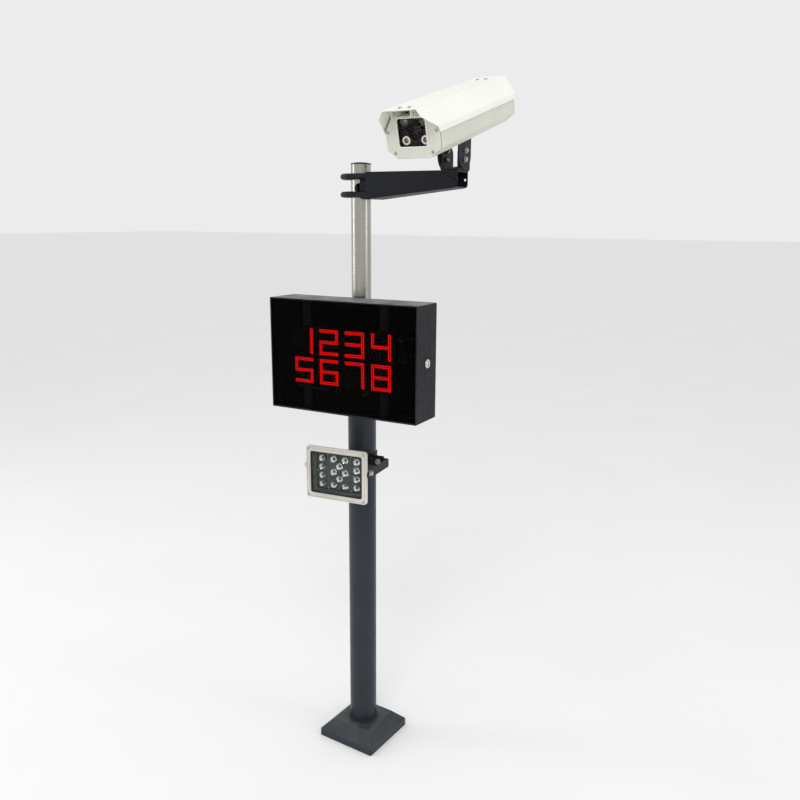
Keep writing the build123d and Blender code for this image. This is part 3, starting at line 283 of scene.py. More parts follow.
module_plastic = moulded("module_plastic", tone(14, 14, 15), tone(20, 20, 22), 0.6)
dark_dots = moulded("dark_dots", tone(110, 50, 46), tone(126, 58, 54), 0.3)
lit_dots = glowing("lit_dots", [0.5, 0.02, 0.01], [1.0, 0.004, 0.003], 13.0)
board_green = moulded("board_green", tone(22, 84, 50), tone(30, 98, 60), 0.38, grain=500)
lamp_board = moulded("lamp_board_mask", tone(62, 66, 60), tone(72, 76, 69), 0.42, grain=600)
window_glass = clear("window_glass", [0.66, 0.60, 0.60], bend=1.2)
lamp_glass = clear("lamp_glass", [0.92, 0.95, 0.94], bend=1.2)
coated_glass = clear("coated_glass", [0.30, 0.26, 0.40], 0.01, 0.0)
lens_resin = clear("lens_resin", [0.97, 0.98, 0.97], 0.03, 0.02)
warm_chip = glowing("warm_chip", tone(226, 210, 120), tone(255, 240, 190), 0.4)
# Painted light: bezel rings that glow, brightly as a painted highlight on the lower rings and weakly
# on the upper ones.
ring_painted_highlight = glowing("ring_painted_highlight", tone(240, 242, 236), tone(250, 252, 246), 0.8)
ring_painted_dim_glow = glowing("ring_painted_dim_glow", tone(120, 132, 120), tone(150, 165, 150), 0.15)
reflector = metal("reflector", tone(232, 232, 230), 0.14)

FINISHES = {
    pole_paint: "base_cover lower_pipe mast_collar",
    stainless: "upper_pipe",
    galvanised: "base_plate box_saddles module_rails lock_catch lock_cam camera_tray",
    rubber: "cover_grommet case_gasket housing_gaskets",
    black_plastic: "pole_cap case_gland housing_glands lamp_plate",
    box_paint: "message_case message_door",
    smoked_acrylic: "front_panel",
    module_plastic: "led_module",
    zinc: "box_u_bolts box_u_nuts hinge_case_leaves hinge_door_leaves bracket_bolts bracket_nuts "
          "collar_screws "
          "end_plate_screws shield_screws hoop_bolts frame_screws flood_pivot_bolts arm_u_nuts",
    chrome: "lock_barrel lock_plug",
    bare_aluminium: "power_supply",
    board_green: "control_card",
    arm_paint: "arm_channel arm_saddle lower_yoke upper_yoke",
    black_paint: "arm_jaws arm_u_bolts flood_bracket flood_hoop",
    housing_paint: "housing_body housing_front housing_rear shield_brackets",
    shield_paint: "sunshield",
    window_glass: "window_glass",
    black_anodised: "camera_block camera_lens",
    reflector: "ring_lamps",
    lamp_paint: "flood_frame flood_housing",
    lamp_glass: "flood_glass",
    lamp_board: "flood_board",
    lens_resin: "flood_lenses",
}
for finish, names in FINISHES.items():
    for name in names.split():
        nodes[name].data.materials.clear()
        nodes[name].data.materials.append(finish)

# ==== making pieces =======================================================

CREASE = 32     # degrees between faces, above which an edge is sharp


def filled(name, build):
    """A mesh of what the build function makes, with its faces outwards."""
    bm = bmesh.new()
    build(bm)
    bmesh.ops.recalc_face_normals(bm, faces=bm.faces)
    mesh = bpy.data.meshes.new(name)
    bm.to_mesh(mesh)
    bm.free()
    return mesh


def mesh_piece(name, body, material, build, replaced=(), crease=CREASE):
    """A mesh that the build function fills in the row frame, riding on a CAD body."""
    mesh = filled(name, build)
    mesh.materials.append(material)
    mesh.shade_smooth()
    mesh.set_sharp_from_angle(angle=radians(crease))
    piece = bpy.data.objects.new(name, mesh)
    bpy.context.scene.collection.objects.link(piece)
    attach(piece, body)
    if replaced:
        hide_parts(*replaced)
    return piece


def cut(piece, build):
    """Takes the shapes that the build function makes out of a finished piece."""
    tool_mesh = filled("cutter", build)
    cutter = bpy.data.objects.new("cutter", tool_mesh)
    bpy.context.scene.collection.objects.link(cutter)
    boolean = piece.modifiers.new("cut", "BOOLEAN")
    boolean.object, boolean.operation, boolean.solver = cutter, "DIFFERENCE", "EXACT"
    solved = piece.evaluated_get(bpy.context.evaluated_depsgraph_get())
    whole = piece.data
    piece.data = bpy.data.meshes.new_from_object(solved)
    piece.data.name = whole.name + "_cut"
    piece.modifiers.clear()
    bpy.data.objects.remove(cutter)
    bpy.data.meshes.remove(tool_mesh)
    result = bmesh.new()
    result.from_mesh(piece.data)
    volume = result.calc_volume(signed=True)
    result.free()
    if volume <= 0:
        raise ValueError(piece.name + " came out of its cut empty or inside out")
    piece.data.set_sharp_from_angle(angle=radians(CREASE))


def band(bm, rings):
    """Faces between rings of vertices; a ring may be a single point."""
    for low, high in zip(rings, rings[1:]):
        count = max(len(low), len(high))
        for step in range(count if count > 1 else 0):
            after = (step + 1) % count
            corners = [low[step % len(low)], low[after % len(low)], high[after % len(high)],
                       high[step % len(high)]]
            bm.faces.new(list(dict.fromkeys(corners)))


def turned(bm, matrix, profile, segments=36, flats=None):
    """A turned shape from (radius, height) points, a ring if they come back to the first.

    With flats it is also milled to a hexagon.
    """
    rings = []
    for radius, height in profile:
        if radius == 0:
            rings.append([bm.verts.new(matrix @ Vector((0, 0, height)))])
            continue
        ring = []
        for step in range(segments):
            angle = 2 * pi * step / segments
            reach = radius
            if flats:
                reach = min(radius, flats / 2 / cos(angle % (pi / 3) - pi / 6))
            ring.append(bm.verts.new(matrix @ Vector((reach * cos(angle), reach * sin(angle),
                                                      height))))
        rings.append(ring)
    if profile[0] == profile[-1]:
        bmesh.ops.delete(bm, geom=rings.pop(), context="VERTS")
        rings.append(rings[0])
    band(bm, rings)


def slab(bm, matrix, size, chamfer=0.0):
    """A box on the matrix's z = 0, with its upper edges chamfered."""
    width, depth, height = size
    levels = ((0, 0), (0, height - chamfer), (chamfer, height)) if chamfer else ((0, 0),
                                                                                 (0, height))
    rings = []
    for inset, level in levels:
        x, y = width / 2 - inset, depth / 2 - inset
        corners = ((-x, -y), (x, -y), (x, y), (-x, y))
        rings.append([bm.verts.new(matrix @ Vector((*corner, level))) for corner in corners])
    band(bm, rings)
    bm.faces.new(rings[0])
    bm.faces.new(rings[-1])


def frame_loop(bm, matrix, half_width, half_height, corner, level, steps=6):
    """Vertices round a rounded rectangle."""
    loop = []
    for quarter, (side, up) in enumerate(((1, 1), (-1, 1), (-1, -1), (1, -1))):
        for step in range(steps + 1):
            angle = pi / 2 * (quarter + step / steps)
            x = side * (half_width - corner) + corner * cos(angle)
            y = up * (half_height - corner) + corner * sin(angle)
            loop.append(bm.verts.new(matrix @ Vector((x, y, level))))
    return loop


def ring_frame(bm, matrix, loops):
    """A closed ring whose section runs through (half width, half height, corner, level) loops."""
    made = [frame_loop(bm, matrix, *loop) for loop in loops]
    band(bm, [*made, made[0]])


def moved(matrix, x=0.0, y=0.0, z=0.0, turn=0.0):
    return matrix @ Matrix.Translation((x, y, z)) @ Matrix.Rotation(turn, 4, "Z")


# ==== fasteners ===========================================================

def thread(radius, start, end, pitch):
    """Profile points of a screw thread's crests and roots, from start to end."""
    count = max(2, round(abs(end - start) / pitch))
    step = (end - start) / count
    points = []
    for turn in range(count):
        points += [(radius * 0.87, start + step * turn), (radius, start + step * (turn + 0.5))]
    return [(0, start), *points, (radius * 0.84, end), (0, end)]


def hex_bolt(bm, seat, flats, head, shank_r, shank, washer_r=0.0, washer=0.0):
    corner = flats / 2 / cos(pi / 6)
    if washer_r:
        turned(bm, seat,
               [(shank_r, 0), (washer_r, 0), (washer_r, washer * 0.8), (washer_r * 0.97, washer),
                (shank_r, washer), (shank_r, 0)])
    turned(bm, moved(seat, z=washer),
           [(0, 0), (corner * 1.02, 0), (corner * 1.02, head * 0.86), (flats * 0.47, head),
            (flats * 0.3, head),
            (flats * 0.28, head * 0.95), (0, head * 0.95)], flats=flats)
    turned(bm, seat, thread(shank_r, -shank, 0, shank_r * 0.3), segments=20)


def hex_nut(bm, seat, flats, height, bore_r):
    corner = flats / 2 / cos(pi / 6)
    turned(bm, seat,
           [(bore_r, 0), (flats * 0.47, 0), (corner * 1.02, height * 0.14),
            (corner * 1.02, height * 0.86),
                      (flats * 0.47, height), (bore_r * 1.15, height), (bore_r, height * 0.9),
            (bore_r, 0)], flats=flats)


def pan_screw(bm, seat, radius, head, shank_r, shank):
    shaft = thread(shank_r, -shank, 0, shank_r * 0.4)[:-1]
    turned(bm, seat, [*shaft, (radius, 0), (radius, head * 0.35), (radius * 0.9, head * 0.72),
                      (radius * 0.62, head * 0.95), (0, head)], segments=28)


def cross_prism(bm, matrix, reach, half, height):
    """An upright cross in one piece, so that a cut with it is clean."""
    quarter = ((reach, half), (half, half), (half, reach))
    outline = [Matrix.Rotation(pi / 2 * turn,
                               2) @ Vector(corner) for turn in range(4) for corner in quarter]
    rings = [[bm.verts.new(matrix @ Vector((*corner,
                                            level))) for corner in outline] for level in (0,
                                                                                          height)]
    band(bm, rings)
    for ring in rings:
        bm.faces.new(ring)


def cross(bm, seat, radius, head):
    """Cutter of a cross recess in a screw's head."""
    cross_prism(bm, moved(seat, z=head * 0.35, turn=0.4), radius * 0.575, radius * 0.135, head)


YOKE_OUTER = 0.0285
YOKE_INNER = 0.020
PIVOT = Vector((0.263, -0.006, 1.6185))
LOCK_BOLT = PIVOT + Vector((0, 0.0206 * cos(radians(84)), 0.0206 * sin(radians(84))))
pan_seat = facing(Vector((0.263, 0, 1.5977)), Z_AXIS)


def bracket_bolts(bm):
    hex_bolt(bm, pan_seat, 0.010, 0.004, 0.003, 0.016, 0.0066, 0.0012)
    for side in (-1, 1):
        for centre in (PIVOT, LOCK_BOLT):
            seat = facing(centre + X_AXIS * side * YOKE_OUTER, X_AXIS * side)
            hex_bolt(bm, seat, 0.010, 0.0042, 0.003, 0.016, 0.0072, 0.0013)


def bracket_nuts(bm):
    hex_nut(bm, facing(Vector((0.263, 0, 1.5893)), -Z_AXIS), 0.010, 0.005, 0.003)
    for side in (-1, 1):
        for centre in (PIVOT, LOCK_BOLT):
            hex_nut(bm, facing(centre + X_AXIS * side * YOKE_INNER, -X_AXIS * side), 0.010, 0.005,
                    0.003)


def arm_nuts(bm):
    for y in (-0.0333, 0.0333):
        for z in (1.540, 1.584):
            hex_nut(bm, facing(Vector((0.045, y, z)), X_AXIS), 0.014, 0.006, 0.005)


def box_nuts(bm):
    for x in (-0.0424, 0.0424):
        for z in (1.034, 1.160):
            hex_nut(bm, facing(Vector((x, -0.044, z)), -Y_AXIS), 0.013, 0.0065, 0.004)


def collar_bolts(bm):
    for degrees_round in (90, 210, 330):
        outward = Vector((cos(radians(degrees_round)), sin(radians(degrees_round)), 0))
        hex_bolt(bm, facing(outward * 0.0415 + Z_AXIS * 1.216, outward), 0.010, 0.005, 0.0033,
                 0.0155, 0.0062, 0.001)


def hoop_bolts(bm):
    for side in (-1, 1):
        seat = moved(LAMP, side * 0.0615, 0.009, 0.027)
        hex_bolt(bm, seat, 0.013, 0.0055, 0.004, 0.030, 0.008, 0.0014)


def flood_pivot_bolts(bm):
    for side in (-1, 1):
        seat = placed(LAMP @ Vector((side * 0.0906, 0.0125, 0.137)), Z_AXIS, across_lamp * side)
        hex_bolt(bm, seat, 0.012, 0.0055, 0.004, 0.012, 0.0075, 0.0012)


for name, body, build in (("bracket_bolts", "pan_bracket", bracket_bolts),
                          ("bracket_nuts", "pan_bracket", bracket_nuts),
                          ("arm_u_nuts", "arm", arm_nuts), ("box_u_nuts", "post", box_nuts),
                          ("collar_screws", "post", collar_bolts),
                          ("hoop_bolts", "lamp_bracket", hoop_bolts),
                          ("flood_pivot_bolts", "floodlight", flood_pivot_bolts)):
    mesh_piece("turned_" + name, body, zinc, build, [name])


def cross_headed(name, body, seats, radius, head, shank_r, shank, replaced):
    def screws(bm):
        for seat in seats:
            pan_screw(bm, seat, radius, head, shank_r, shank)

    def recesses(bm):
        for seat in seats:
            cross(bm, seat, radius, head)

    piece = mesh_piece(name, body, zinc, screws, replaced)
    cut(piece, recesses)


front_screws = [moved(HOUSING, x, y, 0.244) for x,
                y in ((-0.0585, -0.052), (0.0585, -0.052), (-0.0455, -0.096), (0.0455, -0.096))]
rear_screws = [moved(seat, z=-0.4385) @ Matrix.Rotation(pi, 4, "Y") for seat in front_screws]
cross_headed("end_plate_cross_screws", "camera", front_screws + rear_screws, 0.0036, 0.0018,
             0.00215, 0.005, ["end_plate_screws"])


def on_ridge(x, along):
    """A seat on the sunshield's ridge, facing out of it."""
    return placed(RIDGE + X_AXIS * x + along_housing * along, X_AXIS,
                  Z_AXIS * cos(HOUSING_TILT) - Y_AXIS * sin(HOUSING_TILT))


shield_tops = [on_ridge(x, along) for x in (-0.0115, 0.0115) for along in (-0.263, 0.150)]
cross_headed("shield_cross_screws", "camera", [moved(seat, z=0.0003) for seat in shield_tops],
             0.004, 0.002, 0.002, 0.008,
             ["shield_screws"])
bracket_feet = [on_ridge(x, along) for x in (-0.016, 0.016) for along in (-0.208, 0.122, 0.168)]
cross_headed("bracket_foot_screws", "camera", [moved(seat, z=-0.017) for seat in bracket_feet],
             0.003, 0.0016, 0.00165, 0.002, [])
corner_screws = [moved(LAMP, x, y, 0.1544) for x in (-0.0799, 0.0799) for y in (-0.0624, 0.0624)]
cross_headed("frame_cross_screws", "floodlight", corner_screws, 0.0034, 0.0015, 0.0017, 0.005,
             ["frame_screws"])


# ==== message box: display, lock and what is inside =======================

DISPLAY_LEFT, DISPLAY_FOOT = -0.126, 1.062
DISPLAY_FACE = -0.1386
BLOCK = 8 * DOT_PITCH
SEGMENTS = {"1": "bc", "2": "abged", "3": "abgcd", "4": "fgbc", "5": "afgcd", "6": "afgedc",
            "7": "abc", "8": "abcdefg"}
MESSAGE = ("1234", "5678")


def lit(column, row):
    """Whether a dot belongs to a numeral; each numeral fills a cell of 16 by 16 dots."""
    numeral = MESSAGE[1 - row // 16][column // 16]
    x, y = column % 16, row % 16
    left, right, low, high = x in (2, 3), x in (12, 13), y < 8, y >= 8
    wide = 2 <= x <= 13
    bars = {"a": wide and y in (13, 14), "g": wide and y in (7, 8), "d": wide and y in (1, 2),
            "f": left and high and y < 15, "b": right and high and y < 15,
            "e": left and low and y > 0, "c": right and low and y > 0}
    return any(bars[bar] for bar in SEGMENTS[numeral])


def dot_dome(bm, column, row):
    centre = Vector((DISPLAY_LEFT + (column + 0.5) * DOT_PITCH, DISPLAY_FACE,
                     DISPLAY_FOOT + (row + 0.5) * DOT_PITCH))
    turned(bm, placed(centre, X_AXIS, -Y_AXIS),
           [(0, -0.0002), (0.00188, -0.0002), (0.00172, 0.00022), (0, 0.00036)], segments=8)


def dots(wanted):
    def build(bm):
        for row in range(DISPLAY_ROWS):
            for column in range(DISPLAY_COLUMNS):
                if lit(column, row) == wanted:
                    dot_dome(bm, column, row)
    return build


def display_blocks(bm):
    for across in range(8):
        for up in range(4):
            centre = Vector((DISPLAY_LEFT + (across + 0.5) * BLOCK, -0.1312,
                             DISPLAY_FOOT + (up + 0.5) * BLOCK))
            slab(bm, placed(centre, X_AXIS, -Y_AXIS), (BLOCK - 0.0003, BLOCK - 0.0003, 0.0074),
                 0.0004)


display_middle = placed(Vector((0.026, -0.124, 1.138)), X_AXIS, -Y_AXIS)


def display_tray(bm):
    ring_frame(bm, display_middle,
               [(0.152, 0.076, 0.002, 0), (0.152, 0.076, 0.002, 0.012),
                (0.149, 0.073, 0.001, 0.012),
                                    (0.149, 0.073, 0.001, 0)])
    for x in (-0.05, 0.05):
        slab(bm, moved(display_middle, x=x), (0.003, 0.146, 0.0055))
    slab(bm, display_middle, (0.298, 0.003, 0.0055))
    for x in (-0.142, -0.05, 0.05, 0.142):
        for y in (-0.067, 0.067):
            turned(bm, moved(display_middle, x, y),
                   [(0, 0), (0.0044, 0), (0.005, 0.0055), (0, 0.0055)], segments=20)


def display_board(bm):
    slab(bm, moved(display_middle, z=0.0055), (0.297, 0.145, 0.0016))


def display_chips(bm):
    back = display_middle @ Matrix.Rotation(pi, 4, "Y")
    for row in range(4):
        for column in range(10):
            x, y = -0.13 + column * 0.0289, -0.056 + row * 0.0373
            if abs(abs(x) - 0.05) > 0.008:
                slab(bm, moved(back, x, y, -0.0055), (0.0099, 0.006, 0.0016), 0.0002)
    for x in (-0.122, 0.122):
        slab(bm, moved(back, x, 0.018, -0.0055), (0.009, 0.029, 0.005), 0.0004)
    slab(bm, moved(back, 0.02, -0.018, -0.0055), (0.022, 0.010, 0.005), 0.0004)


mesh_piece("display_blocks", "message_door", module_plastic, display_blocks,
           ["led_module"])
mesh_piece("display_tray", "message_door", module_plastic, display_tray)
mesh_piece("display_board", "message_door", board_green, display_board)
mesh_piece("display_chips", "message_door", black_plastic, display_chips)
mesh_piece("unlit_dots", "message_door", dark_dots, dots(False), crease=60)
mesh_piece("lit_numerals", "message_door", lit_dots, dots(True), crease=60)

lock_axis = placed(Vector((0, -0.09, 1.138)), Z_AXIS, X_AXIS)


def lock_plug(bm):
    turned(bm, lock_axis,
           [(0, 0.209), (0.0058, 0.209), (0.006, 0.2096), (0.006, 0.2416), (0.0056, 0.2428),
                           (0.0042, 0.2438), (0.0022, 0.2443), (0, 0.2444)])


def lock_recess(bm):
    cross_prism(bm, moved(lock_axis, z=0.2424), 0.0043, 0.00085, 0.004)


def lock_bezel(bm):
    turned(bm, lock_axis,
           [(0.0062, 0.2405), (0.0108, 0.2410), (0.0112, 0.2416), (0.0108, 0.2428),
            (0.0096, 0.2438),
                           (0.0078, 0.2441), (0.0066, 0.2437), (0.0062, 0.2428), (0.0062, 0.2405)],
           segments=48)


cut(mesh_piece("lock_plug_dome", "lock", chrome, lock_plug, ["lock_plug"]),
    lock_recess)
mesh_piece("lock_bezel", "post", chrome, lock_bezel)


# ==== camera behind its window ============================================

lens_axis = moved(HOUSING, 0, -0.0525)
LAMP_SPOTS = [(x, y) for x in (-0.023, 0.023) for y in (-0.0325, -0.0725)]


def lens_barrel(bm):
    ridges = []
    for turn in range(6):
        ridges += [(0.0190, 0.2085 + 0.0015 * turn), (0.0186, 0.2091 + 0.0015 * turn),
                   (0.0190, 0.2097 + 0.0015 * turn)]
    turned(bm, lens_axis,
           [(0, 0.194), (0.0145, 0.194), (0.015, 0.1945), (0.015, 0.206), (0.019, 0.206), *ridges,
            (0.019, 0.2186),
                           (0.0182, 0.2192), (0.0182, 0.2204), (0.019, 0.221), (0.019, 0.2292),
            (0.0184, 0.230),
                           (0.0172, 0.230), (0.0168, 0.2288), (0.0160, 0.2282), (0.0158, 0.2268),
            (0.0148, 0.2262),
                           (0.0146, 0.2248), (0.0134, 0.2243), (0.0132, 0.2228), (0.0116, 0.2222),
            (0.0112, 0.2196),
                           (0.0112, 0.196), (0, 0.196)], segments=64)


def lens_glass(bm):
    turned(bm, lens_axis,
           [(0, 0.2165), (0.0111, 0.2165), (0.0111, 0.2205), (0.0085, 0.2222), (0.0045, 0.2233),
            (0, 0.2236)],
           segments=48)
    turned(bm, lens_axis,
           [(0, 0.204), (0.0085, 0.204), (0.0085, 0.2068), (0.005, 0.2086), (0, 0.2092)],
           segments=40)


def iris(bm):
    turned(bm, lens_axis,
           [(0.011, 0.2118), (0.0032, 0.2112), (0.0032, 0.2104), (0.011, 0.2110), (0.011, 0.2118)],
           segments=40)


mesh_piece("lens_barrel", "camera", black_anodised, lens_barrel, ["camera_lens"])
mesh_piece("lens_glasses", "camera", coated_glass, lens_glass)
mesh_piece("lens_iris", "camera", black_anodised, iris)


def lamp_rings(spots):
    def build(bm):
        for x, y in spots:
            turned(bm, moved(HOUSING, x, y),
                   [(0.0056, 0.2285), (0.0093, 0.2282), (0.0093, 0.2296), (0.0088, 0.2306),
                                              (0.0074, 0.2310), (0.0061, 0.2304), (0.0056, 0.2292),
                    (0.0056, 0.2285)])
    return build


def lamp_cups(bm):
    for x, y in LAMP_SPOTS:
        turned(bm, moved(HOUSING, x, y),
               [(0.0055, 0.2295), (0.0052, 0.2265), (0.0034, 0.2215), (0, 0.2212), (0, 0.2195),
                                          (0.0072, 0.2195), (0.0072, 0.2280), (0.0055, 0.2295)])


def lamp_chips(bm):
    for x, y in LAMP_SPOTS:
        turned(bm, moved(HOUSING, x, y),
               [(0, 0.2214), (0.0026, 0.2214), (0.0026, 0.2222), (0.0020, 0.2236), (0, 0.2243)],
               segments=24)


# Painted light: the lower bezel rings glow as a painted highlight, the upper ones with a weaker
# painted glow.
mesh_piece("lower_rings_painted_highlight", "camera", ring_painted_highlight,
           lamp_rings([spot for spot in LAMP_SPOTS if spot[1] < -0.05]),
           ["ring_lamps"])
mesh_piece("upper_rings_painted_glow", "camera", ring_painted_dim_glow,
           lamp_rings([spot for spot in LAMP_SPOTS if spot[1] > -0.05]))
mesh_piece("lamp_cups", "camera", zinc, lamp_cups)
mesh_piece("lamp_chips", "camera", warm_chip, lamp_chips)


def window_bead(bm):
    middle = moved(HOUSING, 0, -0.054)
    ring_frame(bm, middle,
               [(0.0338, 0.0293, 0.005, 0.2436), (0.0338, 0.0293, 0.005, 0.2444),
                (0.0342, 0.0297, 0.0054, 0.2448),
                            (0.0354, 0.0309, 0.0062, 0.2448), (0.0359, 0.0314, 0.0066, 0.2442),
                (0.0359, 0.0314, 0.0066, 0.2436)])


mesh_piece("window_bead", "camera", shield_paint, window_bead)


def ribbed_gland(bm, seat):
    """Cable gland with a flanged hexagon, a ribbed dome nut and a blind seal."""
    turned(bm, seat,
           [(0, 0), (0.0102, 0), (0.0108, 0.001), (0.0108, 0.004), (0.0094, 0.0046), (0, 0.0046)],
           flats=0.0195)
    turned(bm, moved(seat, z=0.0046),
           [(0, 0), (0.0084, 0), (0.0086, 0.007), (0.0078, 0.0102), (0.0058, 0.0126),
                                       (0.0050, 0.0128), (0.0048, 0.0118), (0, 0.0114)],
           segments=48)
    for step in range(16):
        rib = moved(seat, z=0.0052, turn=2 * pi * step / 16)
        slab(bm, moved(rib, x=0.0085), (0.0012, 0.0012, 0.0066), 0.0003)


def housing_glands(bm):
    for x in (-0.02, 0.02):
        ribbed_gland(bm, moved(HOUSING, x, -0.084, -0.1945) @ Matrix.Rotation(pi, 4, "Y"))


mesh_piece("ribbed_housing_glands", "camera", black_plastic, housing_glands,
           ["housing_glands"])
mesh_piece("ribbed_case_gland", "post", black_plastic,
           lambda bm: ribbed_gland(bm, facing(Vector((0.110, -0.072, 0.994)), -Z_AXIS)),
           ["case_gland"])


def cable_hole_dark_ring(bm):
    """A dark ring in the rubber finish round the cable hole, which follows the pipe's round."""
    outward = Vector((sin(CABLE_HOLE_TURN), -cos(CABLE_HOLE_TURN), 0))
    sideways = Vector((cos(CABLE_HOLE_TURN), sin(CABLE_HOLE_TURN), 0))
    loops = [[] for _ in range(8)]
    for step in range(48):
        angle = 2 * pi * step / 48
        for index, loop in enumerate(loops):
            swing = 2 * pi * index / 8
            reach = CABLE_HOLE_R + 0.0014 * cos(swing)
            side = reach * cos(angle)
            out = (PIPE_R**2 - side**2) ** 0.5 - 0.0013 + 0.0010 * sin(swing)
            up = CABLE_HOLE_Z + reach * sin(angle)
            loop.append(bm.verts.new(sideways * side + outward * out + Z_AXIS * up))
    band(bm, [*loops, loops[0]])


mesh_piece("cable_hole_dark_ring", "mast", rubber, cable_hole_dark_ring)


# ==== floodlight ==========================================================

FLOOD_SPOTS = [(x, y) for x in (-0.04995, -0.01665, 0.01665, 0.04995) for y in (-0.0345, -0.0115,
                                                                                0.0115, 0.0345)
               if abs(x) > 0.03 or abs(y) > 0.03]
FLOOD_SPOTS += [(0, 0.017), (0, -0.017), (-0.0167, 0), (0.0167, 0)]


def stepped_frame(bm):
    outer = ((0.0869, 0.0694, 0.0070, 0.1444), (0.0869, 0.0694, 0.0070, 0.1532),
             (0.0863, 0.0688, 0.0064, 0.1540),
             (0.0855, 0.0680, 0.0056, 0.1544), (0.0832, 0.0657, 0.0050, 0.1544),
             (0.0829, 0.0654, 0.0049, 0.1531),
             (0.0819, 0.0644, 0.0048, 0.1531), (0.0816, 0.0641, 0.0047, 0.1544),
             (0.0776, 0.0594, 0.0047, 0.1544),
             (0.0772, 0.0590, 0.0047, 0.1530), (0.0745, 0.0560, 0.0050, 0.1528),
             (0.0740, 0.05535, 0.0050, 0.1520),
             (0.0740, 0.05535, 0.0050, 0.1495), (0.0782, 0.0596, 0.0050, 0.1494),
             (0.0782, 0.0596, 0.0050, 0.1444))
    ring_frame(bm, LAMP, outer)


def flood_seal(bm):
    ring_frame(bm, LAMP,
               [(0.0748, 0.0562, 0.0055, 0.1496), (0.0748, 0.0562, 0.0055, 0.1526),
                (0.0738, 0.0552, 0.0052, 0.1534),
                          (0.0722, 0.0536, 0.0046, 0.1534), (0.0712, 0.0526, 0.0042, 0.1526),
                (0.0712, 0.0526, 0.0042, 0.1496)])


def flood_shroud(bm):
    ring_frame(bm, LAMP,
               [(0.0755, 0.0570, 0.0060, 0.1450), (0.0735, 0.0550, 0.0050, 0.1450),
                (0.0706, 0.0524, 0.0040, 0.1310),
                          (0.0722, 0.0540, 0.0050, 0.1306)])


def flood_reflectors(bm):
    for x, y in FLOOD_SPOTS:
        turned(bm, moved(LAMP, x, y, LAMP_BOARD_FACE),
               [(0.0022, 0.0003), (0.0052, 0.0006), (0.0084, 0.0022), (0.0092, 0.0024),
                                               (0.0094, 0.0004), (0.0022, 0.0003)])


def flood_chips(bm):
    for x, y in FLOOD_SPOTS:
        slab(bm, moved(LAMP, x, y, LAMP_BOARD_FACE, 0.3), (0.0042, 0.0042, 0.0007), 0.0002)


def flood_domes(bm):
    for x, y in FLOOD_SPOTS:
        turned(bm, moved(LAMP, x, y, LAMP_BOARD_FACE),
               [(0, 0.0012), (0.0030, 0.0012), (0.0092, 0.0026), (0.0098, 0.0028),
                                               (0.0098, 0.0034), (0.0088, 0.0041), (0.0066, 0.0048),
                (0.0036, 0.0051),
                                               (0.0018, 0.0048), (0, 0.0046)])


mesh_piece("stepped_flood_frame", "floodlight", lamp_paint, stepped_frame,
           ["flood_frame"])
mesh_piece("flood_seal", "floodlight", rubber, flood_seal)
mesh_piece("flood_shroud", "floodlight", inner_lamp_paint, flood_shroud)
mesh_piece("flood_reflectors", "floodlight", reflector, flood_reflectors)
mesh_piece("flood_chips", "floodlight", module_plastic, flood_chips)
mesh_piece("flood_domes", "floodlight", lens_resin, flood_domes, ["flood_lenses"])
board_screws = [moved(LAMP, x, y, LAMP_BOARD_FACE) for x,
                y in ((-0.064, 0), (0.064, 0), (-0.0333, 0.0465), (0.0333, 0.0465),
                                                       (-0.0333, -0.0465), (0.0333, -0.0465))]
cross_headed("lamp_board_screws", "floodlight", board_screws, 0.0024, 0.0013, 0.0012, 0.002, [])


# ==== inside the message box ==============================================

def front_of(node):
    """The middle of a node's front face: x across, y up, z towards the door."""
    low, high = (Vector(corner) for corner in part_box(node))
    return placed(Vector(((low.x + high.x) / 2, low.y, (low.z + high.z) / 2)), X_AXIS, -Y_AXIS)


supply, card = front_of("power_supply"), front_of("control_card")
CARD_FACE = -0.007
CAPACITORS = [(-0.040, 0.022, 0.0042), (-0.040, 0.008, 0.0042), (-0.041, -0.006, 0.0032),
              (0.006, 0.024, 0.0032),
              (0.015, 0.024, 0.0032), (0.043, -0.012, 0.0026)]


def supply_terminals(bm):
    slab(bm, moved(supply, 0, -0.068, -0.0158), (0.086, 0.015, 0.006), 0.0004)
    for step in range(8):
        slab(bm, moved(supply, -0.042 + 0.012 * step, -0.068, -0.0158), (0.0014, 0.015, 0.0118),
             0.0003)


def card_parts(bm):
    slab(bm, moved(card, -0.015, 0, CARD_FACE), (0.0224, 0.0224, 0.0073), 0.0006)
    slab(bm, moved(card, 0.028, 0.010, CARD_FACE), (0.0143, 0.0263, 0.0073), 0.0006)
    for x, y in ((-0.040, -0.018), (-0.028, 0.026), (0.008, 0.010), (0.043, 0.026), (0.043, 0.016),
                 (0.006, -0.012)):
        slab(bm, moved(card, x, y, CARD_FACE), (0.0052, 0.0040, 0.0015), 0.0002)


def card_metal(bm):
    for step in range(10):
        for x in (-0.0272, -0.0028):
            slab(bm, moved(card, x, -0.009 + 0.002 * step, CARD_FACE), (0.0022, 0.0008, 0.0009),
                 0.0001)
    for x, y, radius in CAPACITORS:
        turned(bm, moved(card, x, y, CARD_FACE),
               [(0, 0), (radius, 0), (radius, 0.0011), (radius * 0.92, 0.0015), (radius, 0.0019),
                                                  (radius, 0.0068), (radius * 0.9, 0.0074),
                (0, 0.0074)], segments=24)


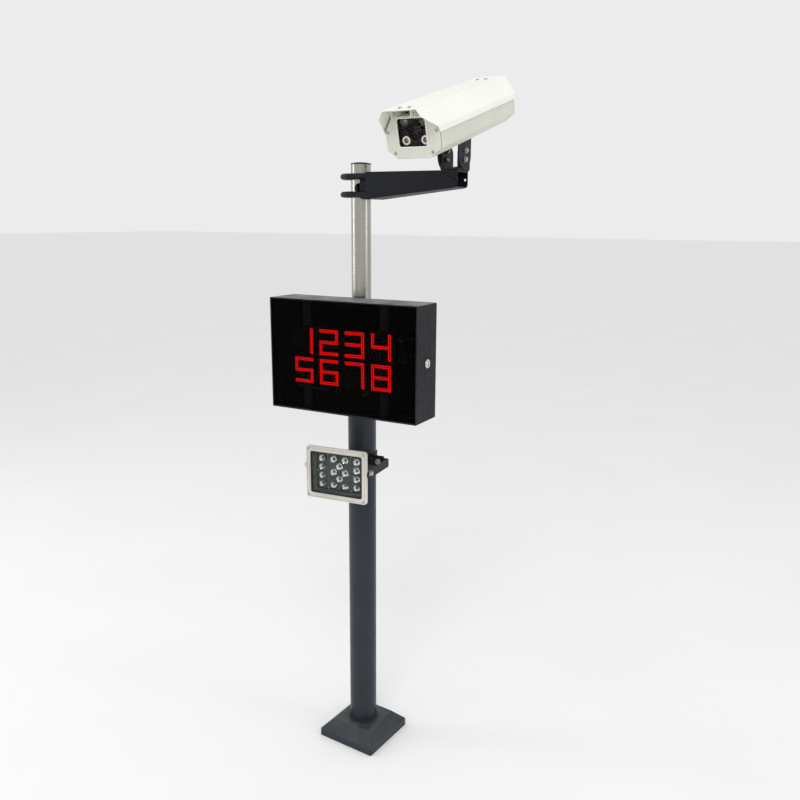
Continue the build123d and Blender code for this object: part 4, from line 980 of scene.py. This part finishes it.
mesh_piece("supply_terminals", "post", black_plastic, supply_terminals)
mesh_piece("card_parts", "post", black_plastic, card_parts)
mesh_piece("card_metal", "post", bare_aluminium, card_metal)
supply_seats = [moved(supply, -0.036 + 0.012 * step, -0.068, -0.0098) for step in range(7)]
supply_seats += [moved(supply, x, y) for x in (-0.045, 0.045) for y in (-0.048, 0.074)]
cross_headed("supply_screws", "post", supply_seats, 0.0032, 0.0018, 0.0014, 0.002, [])
card_seats = [moved(card, x, y, CARD_FACE) for x in (-0.044, 0.044) for y in (-0.029, 0.029)]
card_seats += [moved(card, -0.030 + 0.010 * step, -0.028) for step in range(7)]
cross_headed("card_screws", "post", card_seats, 0.0026, 0.0012, 0.0012, 0.002, [])



# ==== floor, light and camera =============================================

def area_light(name, position, target, size, power, colour=(1, 1, 1)):
    light = bpy.data.lights.new(name, "AREA")
    light.shape, light.size, light.size_y = "RECTANGLE", *size
    light.energy, light.color = power, colour
    lamp = bpy.data.objects.new(name, light)
    bpy.context.scene.collection.objects.link(lamp)
    lamp.location = position
    lamp.rotation_euler = (Vector(target) - Vector(position)).to_track_quat("-Z", "Y").to_euler()


def studio():
    floor_mesh = bpy.data.meshes.new("floor")
    reach = 60
    corners = [(-reach, -reach, 0), (reach, -reach, 0), (reach, reach, 0), (-reach, reach, 0)]
    floor_mesh.from_pydata(corners, [], [(0, 1, 2, 3)])
    floor = bpy.data.objects.new("floor", floor_mesh)
    bpy.context.scene.collection.objects.link(floor)
    floor_paint = Shader("floor_paint")
    floor_paint.set("Base Color", floor_paint.ramp(floor_paint.noise(2), (0.3, 0.88), (0.7, 0.9)))
    floor_paint.set("Roughness", 0.9)
    floor_mesh.materials.append(floor_paint.material)
    world = bpy.data.worlds.new("studio")
    world.use_nodes = True
    world.node_tree.nodes["Background"].inputs["Color"].default_value = (1, 1, 1, 1)
    world.node_tree.nodes["Background"].inputs["Strength"].default_value = 0.84
    bpy.context.scene.world = world
    area_light("key_light", (1.2, -3.2, 4.2), (0, 0, 1.2), (1.6, 1.6), 50)
    area_light("left_light", (-3.4, -1.4, 2.2), (0, 0, 1.1), (0.9, 2.6), 24)
    area_light("right_light", (3.6, 0.4, 2.4), (0, 0, 1.1), (0.9, 2.6), 14)


def photo_camera():
    data = bpy.data.cameras.new("camera")
    data.lens, data.sensor_width = 36.37, 36
    camera = bpy.data.objects.new("camera", data)
    bpy.context.scene.collection.objects.link(camera)
    heading, pitch, roll = radians(28.76), radians(-12.726), radians(0.336)
    turn = Matrix.Rotation(heading, 4, "Z") @ Matrix.Rotation(pi / 2 + pitch, 4,
                                                              "X") @ Matrix.Rotation(roll, 4, "Z")
    camera.matrix_world = Matrix.Translation((1.114, -1.8165, 1.484)) @ turn
    bpy.context.scene.camera = camera


bpy.context.scene.view_settings.view_transform = "Standard"
studio()
photo_camera()
